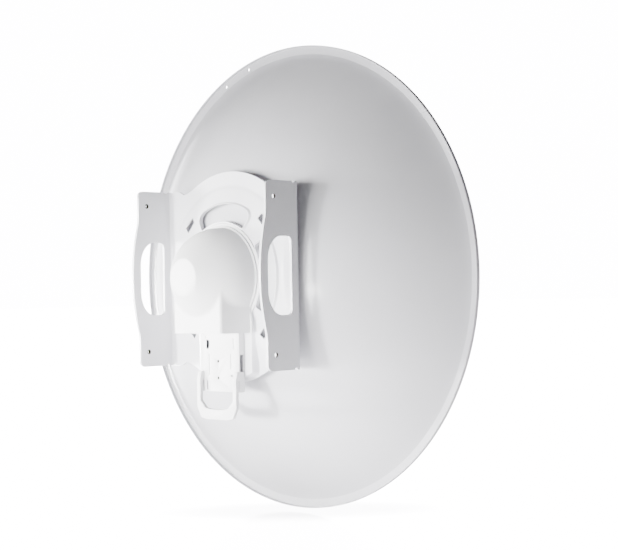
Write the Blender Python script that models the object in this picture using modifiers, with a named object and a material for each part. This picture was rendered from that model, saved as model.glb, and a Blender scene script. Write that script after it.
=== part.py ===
"""Parabolic dish antenna with a rear bracket, a domed cover and a slide-in radio mount.

Metres, +Z up. The dish looks along -Y, so its back and the bracket face +Y.
Inside the script every size is measured from the plane of the rim band, on the dish's axis.
One parent empty then brings the outer face of the bracket's -X flange to the world origin.
"""
import math

import bmesh
import bpy
from mathutils import Matrix

# Reflector
RIM_RADIUS = 0.324
BOWL_RADIUS = 0.311
BOWL_DEPTH = 0.142
SHEET = 0.0015
LIP_HEIGHT = 0.005
HUB_RADIUS = 0.060
BOWL_STEPS = 10
TURN_STEPS = 64
RIM_HOLE_RADIUS = 0.0022
RIM_HOLE_PLACES = ((0.0937, 0.3030), (0.1424, 0.2831))

# Bracket, a pressed plate with folded side flanges
PLATE = 0.0035
FLANGE_X = 0.1286
RING_RADIUS = 0.1425
RING_BACK = 0.1275
HUB_BACK = 0.1405
DOME_TOP_RADIUS = 0.076
DOME_MIDDLE = (0.103, 0.1350)
DOME_FOOT = (0.122, 0.1305)
FLANGE_HALF_HEIGHT = 0.1215
FOLD_RADIUS = 0.005
FLANGE_BACK = 0.1835
FLANGE_BULGE = 0.0108
BULGE_HALF_HEIGHT = 0.077
FLANGE_CORNER = 0.008
SHOULDER = ((0.1070, 0.1213), (0.1030, 0.1204), (0.0992, 0.1188), (0.0955, 0.1171), (0.0920, 0.1165),
            (0.0880, 0.1170), (0.0830, 0.1186), (0.0780, 0.1205), (0.0725, 0.1230))
SLOT_HALF_HEIGHT = 0.0505
SLOT_FRONT = 0.139
SLOT_BACK = 0.181
BOLT_HOLE_Y = 0.169
BOLT_HOLE_Z = 0.101
BOLT_HOLE_RADIUS = 0.00325
RELIEF_Y = 0.1335
RELIEF_RADIUS = 0.0026
KIDNEY_INNER = 0.0745
KIDNEY_OUTER = 0.0985
KIDNEY_HALF_ANGLE = math.radians(32.5)
WINDOW_RADIUS = 0.103
WINDOW_SIZE = (0.0196, 0.0092)
WINDOW_ANGLE = math.radians(45)
SEAT_HALF_WIDTH = 0.052
SEAT_FOOT_SPREAD = 0.003
SEAT_TOP = -0.072
SEAT_EDGE_RADIUS = 0.1415
SEAT_BACK = HUB_BACK - 0.0003

# Fits
GAP = 0.0003

# Hub fasteners
HUB_BOLT_CIRCLE = 0.048
SHANK_RADIUS = 0.003
HEAD_RADIUS = 0.0068
HEAD_HEIGHT = 0.0034
NUT_RADIUS = 0.0058
NUT_HEIGHT = 0.005

# Cover
COVER_WALL = 0.003
COVER_FRONT = 0.1431
COVER_FLANGE = 0.0025
COVER_FLANGE_RADIUS = 0.069
COVER_RADIUS = 0.0658
COVER_SHOULDER = 0.147
COVER_NOSE = 0.2130
COVER_NOSE_RADIUS = 0.0250
COVER_DOME_HEIGHT = 0.0648
COVER_DOME_POWER = 2.4
BOX_BACK = 0.1895
BOX_BACK_HALF_WIDTH = 0.047
BOX_FRONT_HALF_WIDTH = 0.056
BOX_BOTTOM = -0.074
BOX_EDGE_RADIUS = 0.006
BASE_THICKNESS = 0.002
BASE_RADIUS = 0.0725
BASE_INNER_RADIUS = 0.060

# Radio mount and latch
MOUNT_HALF_WIDTH = 0.038
MOUNT_BACK = 0.150
MOUNT_TOP = -0.048
MOUNT_BOTTOM = -0.153
LATCH_HALF_WIDTH = 0.039
LATCH_LEG = 0.0080
LATCH_FRONT = 0.1525
LATCH_BACK = 0.1575
LATCH_TOP = -0.126
LATCH_KNEE = -0.174
LATCH_BOTTOM = -0.190
LATCH_BAR_TOP = -0.176
LATCH_CHAMFER = 0.008

# Feed
TUBE_RADIUS = 0.020
TUBE_FRONT = 0.020
COLLAR_RADIUS = 0.040
COLLAR_THICKNESS = 0.005
FLARE_RADIUS = 0.036
FLARE_FRONT = -0.020
SUB_REFLECTOR_RADIUS = 0.037
SUB_REFLECTOR_THICKNESS = 0.004
CAP_FRONT = -0.040
BLOCK_RADIUS = 0.027
BLOCK_BACK = 0.168
CONNECTOR_X = 0.012
CONNECTOR_Y = 0.158
CONNECTOR_RADIUS = 0.0042
CONNECTOR_BOTTOM = -0.044

# The origin of the finished part, on the outer face of the -X flange
MOUNT_POINT = (-FLANGE_X, 0.186, 0.0)

HUB_FACE = BOWL_DEPTH * (1 - (HUB_RADIUS / BOWL_RADIUS) ** 2)
RING_FRONT = RING_BACK - PLATE

for old in list(bpy.data.objects):
    bpy.data.objects.remove(old, do_unlink=True)

pieces = bpy.data.collections.new("parabolic_dish_antenna")
cutters = bpy.data.collections.new("cutters")
bpy.context.scene.collection.children.link(pieces)
bpy.context.scene.collection.children.link(cutters)

home = bpy.data.objects.new("part_origin", None)
home.location = [-value for value in MOUNT_POINT]
pieces.objects.link(home)


def material(name, colour, roughness, metallic=0.0):
    """A plain Principled material."""
    made = bpy.data.materials.new(name)
    made.use_nodes = True
    shader = made.node_tree.nodes["Principled BSDF"]
    shader.inputs["Base Color"].default_value = (*colour, 1.0)
    shader.inputs["Roughness"].default_value = roughness
    shader.inputs["Metallic"].default_value = metallic
    return made


def dish_paint():
    return material("white_powder_coat_on_sheet", (0.80, 0.80, 0.81), 0.45)


def bracket_paint():
    return material("white_powder_coat_on_steel", (0.82, 0.82, 0.83), 0.4)


def white_plastic():
    return material("white_uv_stable_plastic", (0.84, 0.84, 0.84), 0.38)


def zinc():
    return material("zinc_plated_steel", (0.58, 0.58, 0.60), 0.35, 1.0)


def spun_aluminium():
    return material("bare_aluminium", (0.70, 0.71, 0.72), 0.4, 1.0)


def gold_brass():
    return material("plated_brass", (0.75, 0.62, 0.33), 0.3, 1.0)


def place(obj, paint=None):
    """Puts an object under the common origin, as a piece when it has a paint and else as a cutter."""
    for owner in list(obj.users_collection):
        owner.objects.unlink(obj)
    obj.parent = home
    if paint is None:
        cutters.objects.link(obj)
        obj.hide_render = True
        obj.display_type = "WIRE"
    else:
        pieces.objects.link(obj)
        obj.data.materials.clear()
        obj.data.materials.append(paint)
    return obj


def turned(name, profile, steps, paint=None, closed=True):
    """Turns a profile of (radius, y) points about the dish's axis."""
    mesh = bpy.data.meshes.new(name)
    count = len(profile)
    edges = [(i, i + 1) for i in range(count - 1)]
    if closed:
        edges.append((count - 1, 0))
    mesh.from_pydata([(radius, 0.0, along) for radius, along in profile], edges, [])
    obj = bpy.data.objects.new(name, mesh)
    obj.rotation_euler = (-math.pi / 2, 0.0, 0.0)
    screw = obj.modifiers.new("turn", "SCREW")
    screw.axis = "Z"
    screw.steps = steps
    screw.render_steps = steps
    screw.use_merge_vertices = True
    screw.merge_threshold = 0.00005
    screw.use_normal_calculate = False
    return place(obj, paint)


def outline_solid(name, points, low, high, axis="Y", paint=None, holes=()):
    """Extrudes a flat outline from low to high along an axis.

    Along Y the outline's points are (x, z), along X they are (y, z), along Z they are (x, y).
    """
    curve = bpy.data.curves.new(name, "CURVE")
    curve.dimensions = "2D"
    curve.fill_mode = "BOTH"
    curve.extrude = abs(high - low) / 2
    for loop in (points, *holes):
        spline = curve.splines.new("POLY")
        spline.points.add(len(loop) - 1)
        for point, (u, v) in zip(spline.points, loop):
            point.co = (u, v, 0.0, 1.0)
        spline.use_cyclic_u = True
    flat = bpy.data.objects.new(name + "_outline", curve)
    bpy.context.scene.collection.objects.link(flat)
    bpy.context.view_layer.update()
    mesh = bpy.data.meshes.new_from_object(flat.evaluated_get(bpy.context.evaluated_depsgraph_get()))
    bpy.data.objects.remove(flat, do_unlink=True)
    shape = bmesh.new()
    shape.from_mesh(mesh)
    bmesh.ops.remove_doubles(shape, verts=shape.verts, dist=0.00002)
    middle = (low + high) / 2
    if axis == "Y":
        turn = Matrix(((1, 0, 0), (0, 0, -1), (0, 1, 0))).to_4x4()
        shift = Matrix.Translation((0.0, middle, 0.0))
    elif axis == "X":
        turn = Matrix(((0, 0, 1), (1, 0, 0), (0, 1, 0))).to_4x4()
        shift = Matrix.Translation((middle, 0.0, 0.0))
    else:
        turn = Matrix.Identity(4)
        shift = Matrix.Translation((0.0, 0.0, middle))
    bmesh.ops.transform(shape, matrix=shift @ turn, verts=shape.verts)
    bmesh.ops.recalc_face_normals(shape, faces=shape.faces)
    shape.to_mesh(mesh)
    shape.free()
    return place(bpy.data.objects.new(name, mesh), paint)


def block(name, low, high, paint=None):
    """A box between two corners, started from a cube primitive."""
    shape = bmesh.new()
    bmesh.ops.create_cube(shape, size=1.0)
    for vertex in shape.verts:
        for i in range(3):
            vertex.co[i] = high[i] if vertex.co[i] > 0 else low[i]
    mesh = bpy.data.meshes.new(name)
    shape.to_mesh(mesh)
    shape.free()
    return place(bpy.data.objects.new(name, mesh), paint)


def rod(name, radius, low, high, axis="Y", centre=(0.0, 0.0), sides=24, paint=None):
    """A cylinder from low to high along an axis, centred at the two other coordinates."""
    shape = bmesh.new()
    bmesh.ops.create_cone(shape, cap_ends=True, segments=sides, radius1=radius, radius2=radius,
                          depth=high - low)
    middle = (low + high) / 2
    if axis == "Y":
        turn = Matrix.Rotation(-math.pi / 2, 4, "X")
        spot = (centre[0], middle, centre[1])
    elif axis == "X":
        turn = Matrix.Rotation(math.pi / 2, 4, "Y")
        spot = (middle, centre[0], centre[1])
    else:
        turn = Matrix.Identity(4)
        spot = (centre[0], centre[1], middle)
    bmesh.ops.transform(shape, matrix=Matrix.Translation(spot) @ turn, verts=shape.verts)
    mesh = bpy.data.meshes.new(name)
    shape.to_mesh(mesh)
    shape.free()
    return place(bpy.data.objects.new(name, mesh), paint)


def combine(obj, other, operation):
    """Adds a Boolean of another object, which is kept as a cutter."""
    step = obj.modifiers.new(operation.lower() + "_" + other.name, "BOOLEAN")
    step.operation = operation
    step.object = other
    step.solver = "EXACT"


def cut(obj, *others):
    for other in others:
        combine(obj, other, "DIFFERENCE")


def join(obj, *others):
    for other in others:
        combine(obj, other, "UNION")


def arc(centre_u, centre_v, radius, start, end, count, radius_v=None):
    """Points on an arc of a circle or an ellipse, angles in degrees."""
    tall = radius if radius_v is None else radius_v
    points = []
    for i in range(count + 1):
        angle = math.radians(start + (end - start) * i / count)
        points.append((centre_u + radius * math.cos(angle), centre_v + tall * math.sin(angle)))
    return points


def bowl_back(radius):
    """Height of the bowl's back face over the rim plane."""
    return BOWL_DEPTH * (1 - (radius / BOWL_RADIUS) ** 2)


def reflector():
    """Spun paraboloid with a flat hub, a flat rim band and a lip turned up at its edge."""
    radii = [HUB_RADIUS + (BOWL_RADIUS - HUB_RADIUS) * i / BOWL_STEPS for i in range(BOWL_STEPS + 1)]
    back = [(radius, bowl_back(radius)) for radius in radii]
    front = []
    for radius, along in back:
        slope = 2 * BOWL_DEPTH * radius / BOWL_RADIUS ** 2
        length = math.hypot(slope, 1.0)
        front.append((radius - SHEET * slope / length, along - SHEET / length))
    front[0] = (HUB_RADIUS, HUB_FACE - SHEET)
    front[-1] = (front[-1][0], -SHEET)
    hole = TUBE_RADIUS + GAP
    profile = [(RIM_RADIUS, LIP_HEIGHT), (RIM_RADIUS, -SHEET)]
    profile += list(reversed(front))
    profile += [(hole, HUB_FACE - SHEET), (hole, HUB_FACE)]
    profile += back
    profile += [(RIM_RADIUS - SHEET, 0.0), (RIM_RADIUS - SHEET, LIP_HEIGHT)]
    dish = turned("reflector", profile, TURN_STEPS, dish_paint())
    for number, spot in enumerate(RIM_HOLE_PLACES):
        cut(dish, rod("rim_hole_%d" % number, RIM_HOLE_RADIUS, -0.01, 0.01, "Y", spot, 10))
    for number, spot in enumerate(hub_bolt_spots()):
        cut(dish, rod("reflector_bolt_hole_%d" % number, SHANK_RADIUS + GAP, 0.12, 0.15, "Y", spot, 12))
    return dish


def hub_bolt_spots():
    """The four fasteners on the diagonals, as (x, z)."""
    reach = HUB_BOLT_CIRCLE / math.sqrt(2)
    return [(reach, reach), (-reach, reach), (-reach, -reach), (reach, -reach)]


def channel_section():
    """Section of the bracket across its height: plate, folds and flanges."""
    tip = FLANGE_BACK + 0.03
    outer = [(FLANGE_X, tip)]
    outer += arc(FLANGE_X - FOLD_RADIUS, RING_FRONT + FOLD_RADIUS, FOLD_RADIUS, 0, -90, 5)
    inner_radius = FOLD_RADIUS - PLATE
    inner_x = FLANGE_X - PLATE
    inner = arc(inner_x - inner_radius, RING_BACK + inner_radius, inner_radius, -90, 0, 3)
    inner.append((inner_x, tip))
    left = [(-x, y) for x, y in reversed(outer)]
    left_inner = [(-x, y) for x, y in reversed(inner)]
    return outer + left + left_inner + inner


def plate_outline():
    """Outline of the bracket seen from behind, as (x, z), out past both flanges."""
    side = FLANGE_X + 0.01
    start = math.degrees(math.acos(0.067 / RING_RADIUS))
    half = [(side, FLANGE_HALF_HEIGHT), *SHOULDER]
    top = half + arc(0.0, 0.0, RING_RADIUS, start, 180 - start, 18) + [(-x, z) for x, z in reversed(half)]
    return top + [(x, -z) for x, z in reversed(top)]


def flange_edge():
    """The waste behind the flanges' rear edge, as (y, z)."""
    corner_z = FLANGE_HALF_HEIGHT - FLANGE_CORNER
    corner_y = FLANGE_BACK - FLANGE_CORNER
    half = arc(corner_y, corner_z, FLANGE_CORNER, 90, 0, 5)
    for i in range(8):
        z = BULGE_HALF_HEIGHT * (1 - i / 8)
        rise = FLANGE_BULGE * (1 - (z / BULGE_HALF_HEIGHT) ** 2)
        half.append((FLANGE_BACK + rise, z))
    half.append((FLANGE_BACK + FLANGE_BULGE, 0.0))
    beyond = FLANGE_HALF_HEIGHT + 0.01
    far = FLANGE_BACK + 0.05
    edge = half[:-1] + [half[-1]] + [(y, -z) for y, z in reversed(half[:-1])]
    return edge + [(corner_y, -beyond), (far, -beyond), (far, beyond), (corner_y, beyond)]


def hand_slot():
    """Outline of the slot in a flange, as (y, z): small corners at the fold, wide ones at the back."""
    small = 0.006
    wide_y = 0.024
    wide_z = 0.032
    half = [(SLOT_BACK, 0.0)]
    half += arc(SLOT_BACK - wide_y, SLOT_HALF_HEIGHT - wide_z, wide_y, 0, 90, 7, wide_z)
    half += arc(SLOT_FRONT + small, SLOT_HALF_HEIGHT - small, small, 90, 180, 4)
    return half + [(y, -z) for y, z in reversed(half[1:])]


def kidney(turn):
    """Outline of a kidney-shaped opening centred at an angle, as (x, z)."""
    corner = 0.011
    inner_corner = 0.003
    outer_pull = corner / (KIDNEY_OUTER - corner)
    inner_pull = inner_corner / (KIDNEY_INNER + inner_corner)
    points = []
    for side in (1, -1):
        half = KIDNEY_HALF_ANGLE
        big = half - math.asin(outer_pull)
        small = half - math.asin(inner_pull)
        sweep = []
        for i in range(5):
            sweep.append((KIDNEY_OUTER, big * i / 4))
        ends = []
        centre = ((KIDNEY_OUTER - corner) * math.cos(big), (KIDNEY_OUTER - corner) * math.sin(big))
        for i in range(1, 5):
            angle = big + math.pi / 2 * i / 4
            ends.append((centre[0] + corner * math.cos(angle), centre[1] + corner * math.sin(angle)))
        reach = KIDNEY_INNER + inner_corner
        centre = (reach * math.cos(small), reach * math.sin(small))
        for i in range(3):
            angle = small + math.pi / 2 + math.pi / 2 * i / 2
            ends.append((centre[0] + inner_corner * math.cos(angle),
                         centre[1] + inner_corner * math.sin(angle)))
        steps = [small * i / 4 for i in (3, 2, 1)]
        inside = [(KIDNEY_INNER * math.cos(step), KIDNEY_INNER * math.sin(step)) for step in steps]
        arc_points = [(r * math.cos(a), r * math.sin(a)) for r, a in sweep]
        run = arc_points + ends + inside
        if side == 1:
            points += run
            points.append((KIDNEY_INNER, 0.0))
        else:
            points += [(u, -v) for u, v in reversed(run[1:])]
    cos_turn, sin_turn = math.cos(turn), math.sin(turn)
    return [(u * cos_turn - v * sin_turn, u * sin_turn + v * cos_turn) for u, v in points]


def window(number):
    """Small rectangular window on a diagonal of the domed part."""
    angle = WINDOW_ANGLE if number in (0, 2) else math.pi - WINDOW_ANGLE
    if number >= 2:
        angle += math.pi
    tangent, radial = WINDOW_SIZE[0] / 2, WINDOW_SIZE[1] / 2
    corners = [(WINDOW_RADIUS + du, dv) for du, dv in
               ((-radial, -tangent), (radial, -tangent), (radial, tangent), (-radial, tangent))]
    return [(u * math.cos(angle) - v * math.sin(angle), u * math.sin(angle) + v * math.cos(angle))
            for u, v in corners]


def back_bracket():
    """One pressed steel plate, domed at its middle, with its sides folded back as flanges."""
    tall = RING_RADIUS + 0.01
    bracket = outline_solid("back_bracket", channel_section(), -tall, tall, "Z", bracket_paint())
    trim = outline_solid("bracket_outline", plate_outline(), RING_FRONT - 0.02, FLANGE_BACK + 0.05)
    combine(bracket, trim, "INTERSECT")
    wide = FLANGE_X + 0.02
    cut(bracket, outline_solid("flange_edge", flange_edge(), -wide, wide, "X"))
    cut(bracket, outline_solid("hand_slot", hand_slot(), -wide, wide, "X"))
    for side in (-1, 1):
        for end in (-1, 1):
            tag = "%d%d" % (side + 1, end + 1)
            low, high = sorted((side * (FLANGE_X - 0.02), side * wide))
            hole = (BOLT_HOLE_Y, end * BOLT_HOLE_Z)
            cut(bracket, rod("bolt_hole_" + tag, BOLT_HOLE_RADIUS, low, high, "X", hole, 16))
            relief = (RELIEF_Y, end * (FLANGE_HALF_HEIGHT - 0.0005))
            cut(bracket, rod("bend_relief_" + tag, RELIEF_RADIUS, low, high, "X", relief, 12))
    foot_radius = DOME_FOOT[0]
    root = RING_FRONT + 0.0014
    join(bracket, turned("bracket_dome", [
        (0.0, HUB_BACK), (DOME_TOP_RADIUS, HUB_BACK), DOME_MIDDLE, DOME_FOOT, (foot_radius + 0.0032, root),
        (0.0, root)], 48, closed=False))
    foot = SEAT_HALF_WIDTH + SEAT_FOOT_SPREAD
    low = -SEAT_EDGE_RADIUS - 0.01
    seat = outline_solid("mount_seat", [
        (-foot, root + 0.0007), (foot, root + 0.0007),
        (SEAT_HALF_WIDTH, SEAT_BACK), (-SEAT_HALF_WIDTH, SEAT_BACK)],
        low, SEAT_TOP, "Z")
    combine(seat, rod("seat_edge", SEAT_EDGE_RADIUS, 0.10, 0.16, "Y", sides=72), "INTERSECT")
    join(bracket, seat)
    wall = foot_radius - 0.0045
    cut(bracket, turned("dome_hollow", [
        (0.0, HUB_BACK - PLATE), (DOME_TOP_RADIUS, HUB_BACK - PLATE),
        (DOME_MIDDLE[0], DOME_MIDDLE[1] - PLATE),
        (wall, RING_BACK), (wall, 0.11), (0.0, 0.11)], 48, closed=False))
    inside = SEAT_HALF_WIDTH - PLATE
    hollow = block("seat_hollow", (-inside, 0.11, low), (inside, SEAT_BACK - PLATE, SEAT_TOP - 0.006))
    combine(hollow, rod("hollow_edge", SEAT_EDGE_RADIUS - PLATE, 0.10, 0.16, "Y", sides=72), "INTERSECT")
    cut(bracket, hollow)
    cut(bracket, rod("feed_bore", TUBE_RADIUS + GAP, 0.12, 0.16, "Y", sides=40))
    for number, turn in enumerate((0, 90, 180)):
        shape = kidney(math.radians(turn))
        cut(bracket, outline_solid("kidney_%d" % number, shape, RING_FRONT - 0.01, HUB_BACK + 0.01))
    for number in range(4):
        shape = window(number)
        cut(bracket, outline_solid("window_%d" % number, shape, RING_FRONT - 0.01, HUB_BACK + 0.01))
    for number, spot in enumerate(hub_bolt_spots()):
        cut(bracket, rod("bracket_bolt_hole_%d" % number, SHANK_RADIUS + GAP, 0.13, 0.15, "Y", spot, 12))
    return bracket


def hub_fasteners():
    """Round-headed bolts with their heads in the bowl, and hexagon nuts on the bracket's back."""
    seat = HUB_FACE - SHEET - GAP
    end = HUB_BACK + GAP + NUT_HEIGHT + 0.002
    for number, (x, z) in enumerate(hub_bolt_spots(), 1):
        profile = [(0.0, end), (SHANK_RADIUS, end), (SHANK_RADIUS, seat), (HEAD_RADIUS, seat)]
        profile += [(HEAD_RADIUS * 0.92, seat - HEAD_HEIGHT * 0.45)]
        profile += [(HEAD_RADIUS * 0.6, seat - HEAD_HEIGHT * 0.86)]
        profile += [(0.0, seat - HEAD_HEIGHT)]
        bolt = turned("hub_bolt_%d" % number, profile, 12, zinc(), closed=False)
        bolt.location = (x, 0.0, z)
        foot = HUB_BACK + GAP
        nut = rod("hub_nut_%d" % number, NUT_RADIUS, foot, foot + NUT_HEIGHT, "Y", (x, z), 6, zinc())
        cut(nut, rod("nut_bore_%d" % number, SHANK_RADIUS + GAP, 0.13, 0.16, "Y", (x, z), 12))


def cover_base():
    """Flat moulded ring between the bracket and the cover, open at the bottom for the mount."""
    back = HUB_BACK + GAP + BASE_THICKNESS
    ring = turned("cover_base", [
        (BASE_RADIUS, back), (BASE_RADIUS, HUB_BACK + GAP), (BASE_INNER_RADIUS, HUB_BACK + GAP),
        (BASE_INNER_RADIUS, back)], 48, white_plastic())
    half = MOUNT_HALF_WIDTH + 0.004
    cut(ring, block("base_gap", (-half, 0.13, -0.09), (half, 0.16, 0.0)))
    return ring


def dome_profile(shrink):
    """Profile of the cover's dome: its blunt nose, then a curve that runs out straight at its foot."""
    top = COVER_SHOULDER + COVER_DOME_HEIGHT
    nose = COVER_NOSE - shrink
    points = [(0.0, nose), (0.015, nose - 0.0002), (0.0205, nose - 0.0005)]
    for i in range(11):
        share = 1 - i / 10
        across = COVER_RADIUS + (COVER_NOSE_RADIUS - COVER_RADIUS) * share ** COVER_DOME_POWER
        along = COVER_SHOULDER + COVER_DOME_HEIGHT * share
        points.append((across - shrink, along - shrink * share ** 2))
    points[3] = (COVER_NOSE_RADIUS - shrink * 0.5, top - shrink)
    return points


def cover_box(name, shrink, front, bottom):
    """Square part of the cover, wider at its foot, with rounded rear edges."""
    back = BOX_BACK - shrink
    taper = (BOX_FRONT_HALF_WIDTH - BOX_BACK_HALF_WIDTH) / (BOX_BACK - COVER_FRONT)
    narrow = BOX_BACK_HALF_WIDTH - shrink
    wide = narrow + taper * (back - front)
    radius = max(BOX_EDGE_RADIUS - shrink, 0.002)
    corner = arc(narrow - radius, back - radius, radius, 10, 90, 4)
    section = [(wide, front)] + corner + [(-x, y) for x, y in reversed(corner)] + [(-wide, front)]
    return outline_solid(name, section, bottom, 0.004, "Z")


def rear_cover():
    """Moulded cover: a blunt dome over the feed, run down into a square part that is open below."""
    flange_back = COVER_FRONT + COVER_FLANGE
    foot = BOX_FRONT_HALF_WIDTH + 0.0025
    start = -38.0
    outline = arc(0.0, 0.0, COVER_FLANGE_RADIUS, start, 180 - start, 36)
    outline += [(-foot, -0.057), (-foot, BOX_BOTTOM), (foot, BOX_BOTTOM), (foot, -0.057)]
    cover = outline_solid("rear_cover", outline, COVER_FRONT, flange_back, "Y", paint=white_plastic())
    inset = COVER_FRONT + 0.0008
    outer = dome_profile(0.0) + [(COVER_RADIUS, inset), (0.0, inset)]
    join(cover, turned("cover_dome", outer, 48, closed=False))
    join(cover, cover_box("cover_box", 0.0, inset, BOX_BOTTOM))
    behind = COVER_FRONT - 0.01
    inner = dome_profile(COVER_WALL) + [(COVER_RADIUS - COVER_WALL, behind), (0.0, behind)]
    cut(cover, turned("cover_inside", inner, 40, closed=False))
    cut(cover, cover_box("cover_box_inside", COVER_WALL, behind, BOX_BOTTOM - 0.01))
    return cover


def radio_mount():
    """Moulded mount on the bracket's seat: a shallow box with hook slots and a raised middle rib."""
    front = HUB_BACK + GAP
    mount = block("radio_mount", (-MOUNT_HALF_WIDTH, front, MOUNT_BOTTOM),
                  (MOUNT_HALF_WIDTH, MOUNT_BACK, MOUNT_TOP), white_plastic())
    slots = {
        "hook_slot_upper_left": ((0.0235, -0.0956), (0.0265, -0.0796)),
        "hook_slot_upper_right": ((-0.0305, -0.0969), (-0.0275, -0.0793)),
        "hook_slot_lower_left": ((0.0243, -0.1504), (0.0273, -0.1385)),
        "hook_slot_lower_right": ((-0.0295, -0.1504), (-0.0265, -0.1385)),
        "rib_groove_left": ((0.0206, -0.1310), (0.0220, -0.1030)),
        "rib_groove_right": ((-0.0222, -0.1222), (-0.0208, -0.1023)),
    }
    for name, (low, high) in slots.items():
        deep = 0.004 if "groove" in name else 0.0075
        cut(mount, block(name, (low[0], MOUNT_BACK - deep, low[1]), (high[0], MOUNT_BACK + 0.01, high[1])))
    for side in (-1, 1):
        low, high = sorted((side * (MOUNT_HALF_WIDTH - 0.006), side * (MOUNT_HALF_WIDTH + 0.01)))
        cut(mount, block("side_window_%d" % (side + 1), (low, front + 0.001, -0.1262),
                         (high, front + 0.008, -0.1032)))
    for number, z in enumerate((-0.1124, -0.1348)):
        cut(mount, rod("mount_hole_%d" % number, 0.0017, MOUNT_BACK - 0.004, MOUNT_BACK + 0.01, "Y",
                       (0.0035, z), 12))
    return mount


def release_latch():
    """U-shaped latch: two legs from the mount's sides and a bar to pull with a finger."""
    outer = [(-LATCH_HALF_WIDTH, LATCH_TOP), (-LATCH_HALF_WIDTH, LATCH_KNEE),
             (-LATCH_HALF_WIDTH + LATCH_CHAMFER, LATCH_BOTTOM + 0.002), (-0.020, LATCH_BOTTOM)]
    inner_x = LATCH_HALF_WIDTH - LATCH_LEG
    inner = [(-inner_x, LATCH_TOP), (-inner_x, LATCH_KNEE + 0.009),
             (-inner_x + 0.0095, LATCH_BAR_TOP + 0.001),
             (-0.008, LATCH_BAR_TOP - 0.0005)]
    outline = outer + [(-x, z) for x, z in reversed(outer)]
    outline += [(-x, z) for x, z in inner] + list(reversed(inner))
    latch = outline_solid("release_latch", outline, LATCH_FRONT, LATCH_BACK, "Y", paint=white_plastic())
    for side in (-1, 1):
        low, high = sorted((side * (inner_x + 0.0004), side * (LATCH_HALF_WIDTH - 0.0004)))
        foot = block("latch_foot_%d" % (side + 1), (low, MOUNT_BACK + GAP, LATCH_TOP - 0.012),
                     (high, LATCH_FRONT + 0.001, LATCH_TOP - 0.0004))
        join(latch, foot)
    return latch


def feed():
    """Feed on the dish's axis: collar, tube, flare, sub-reflector and cap, with its block behind the hub."""
    collar_back = HUB_FACE - SHEET - GAP
    collar_front = collar_back - COLLAR_THICKNESS
    bore = TUBE_RADIUS + GAP
    turned("feed_collar", [
        (COLLAR_RADIUS, collar_back), (COLLAR_RADIUS, collar_back - 0.002),
        (COLLAR_RADIUS - 0.006, collar_front),
        (bore, collar_front), (bore, collar_back)], 40, white_plastic())
    turned("feed_tube", [
        (0.0, HUB_BACK), (TUBE_RADIUS, HUB_BACK), (TUBE_RADIUS, TUBE_FRONT + 0.004),
        (TUBE_RADIUS - 0.002, TUBE_FRONT), (0.0, TUBE_FRONT)], 40, white_plastic(), closed=False)
    flare_back = TUBE_FRONT - GAP
    flare = [(0.0, flare_back), (TUBE_RADIUS - 0.002, flare_back)]
    for i in range(7):
        share = i / 6
        radius = TUBE_RADIUS - 0.001 + (FLARE_RADIUS - TUBE_RADIUS + 0.001) * share ** 1.6
        flare.append((radius, flare_back - 0.003 - (flare_back - 0.003 - FLARE_FRONT) * share))
    flare.append((0.0, FLARE_FRONT))
    turned("feed_flare", flare, 40, white_plastic(), closed=False)
    plate_back = FLARE_FRONT - GAP
    plate_front = plate_back - SUB_REFLECTOR_THICKNESS
    turned("sub_reflector", [
        (0.0, plate_back), (SUB_REFLECTOR_RADIUS, plate_back), (SUB_REFLECTOR_RADIUS, plate_front),
        (0.0, plate_front)], 40, spun_aluminium(), closed=False)
    cap_back = plate_front - GAP
    cap = [(0.0, cap_back)]
    for i in range(7):
        angle = math.pi / 2 * i / 6
        cap.append(((SUB_REFLECTOR_RADIUS + 0.001) * math.cos(angle) ** 0.6 if i < 6 else 0.0,
                    cap_back - (cap_back - CAP_FRONT) * math.sin(angle)))
    turned("feed_cap", cap, 40, white_plastic(), closed=False)
    block_front = HUB_BACK + GAP
    body = turned("feed_block", [
        (0.0, BLOCK_BACK), (BLOCK_RADIUS - 0.003, BLOCK_BACK), (BLOCK_RADIUS, BLOCK_BACK - 0.003),
        (BLOCK_RADIUS, block_front), (0.0, block_front)], 40, spun_aluminium(), closed=False)
    flat = -0.023
    cut(body, block("connector_flat", (-0.04, 0.13, -0.04), (0.04, 0.18, flat)))
    for name, x in (("rf_connector_left", CONNECTOR_X), ("rf_connector_right", -CONNECTOR_X)):
        place = (x, CONNECTOR_Y)
        neck = rod(name, CONNECTOR_RADIUS, CONNECTOR_BOTTOM, flat - GAP, "Z", place, 16, gold_brass())
        join(neck, rod(name + "_nut", CONNECTOR_RADIUS * 1.5, flat - 0.006, flat - 0.0012, "Z", place, 6))


reflector()
back_bracket()
hub_fasteners()
cover_base()
rear_cover()
radio_mount()
release_latch()
feed()

for piece in pieces.objects:
    if piece.type == "MESH":
        piece.data.shade_smooth()
        piece.data.set_sharp_from_angle(angle=math.radians(35))
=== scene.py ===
import math

import bmesh
import bpy
import numpy as np
from mathutils import Matrix, Vector, geometry


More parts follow.
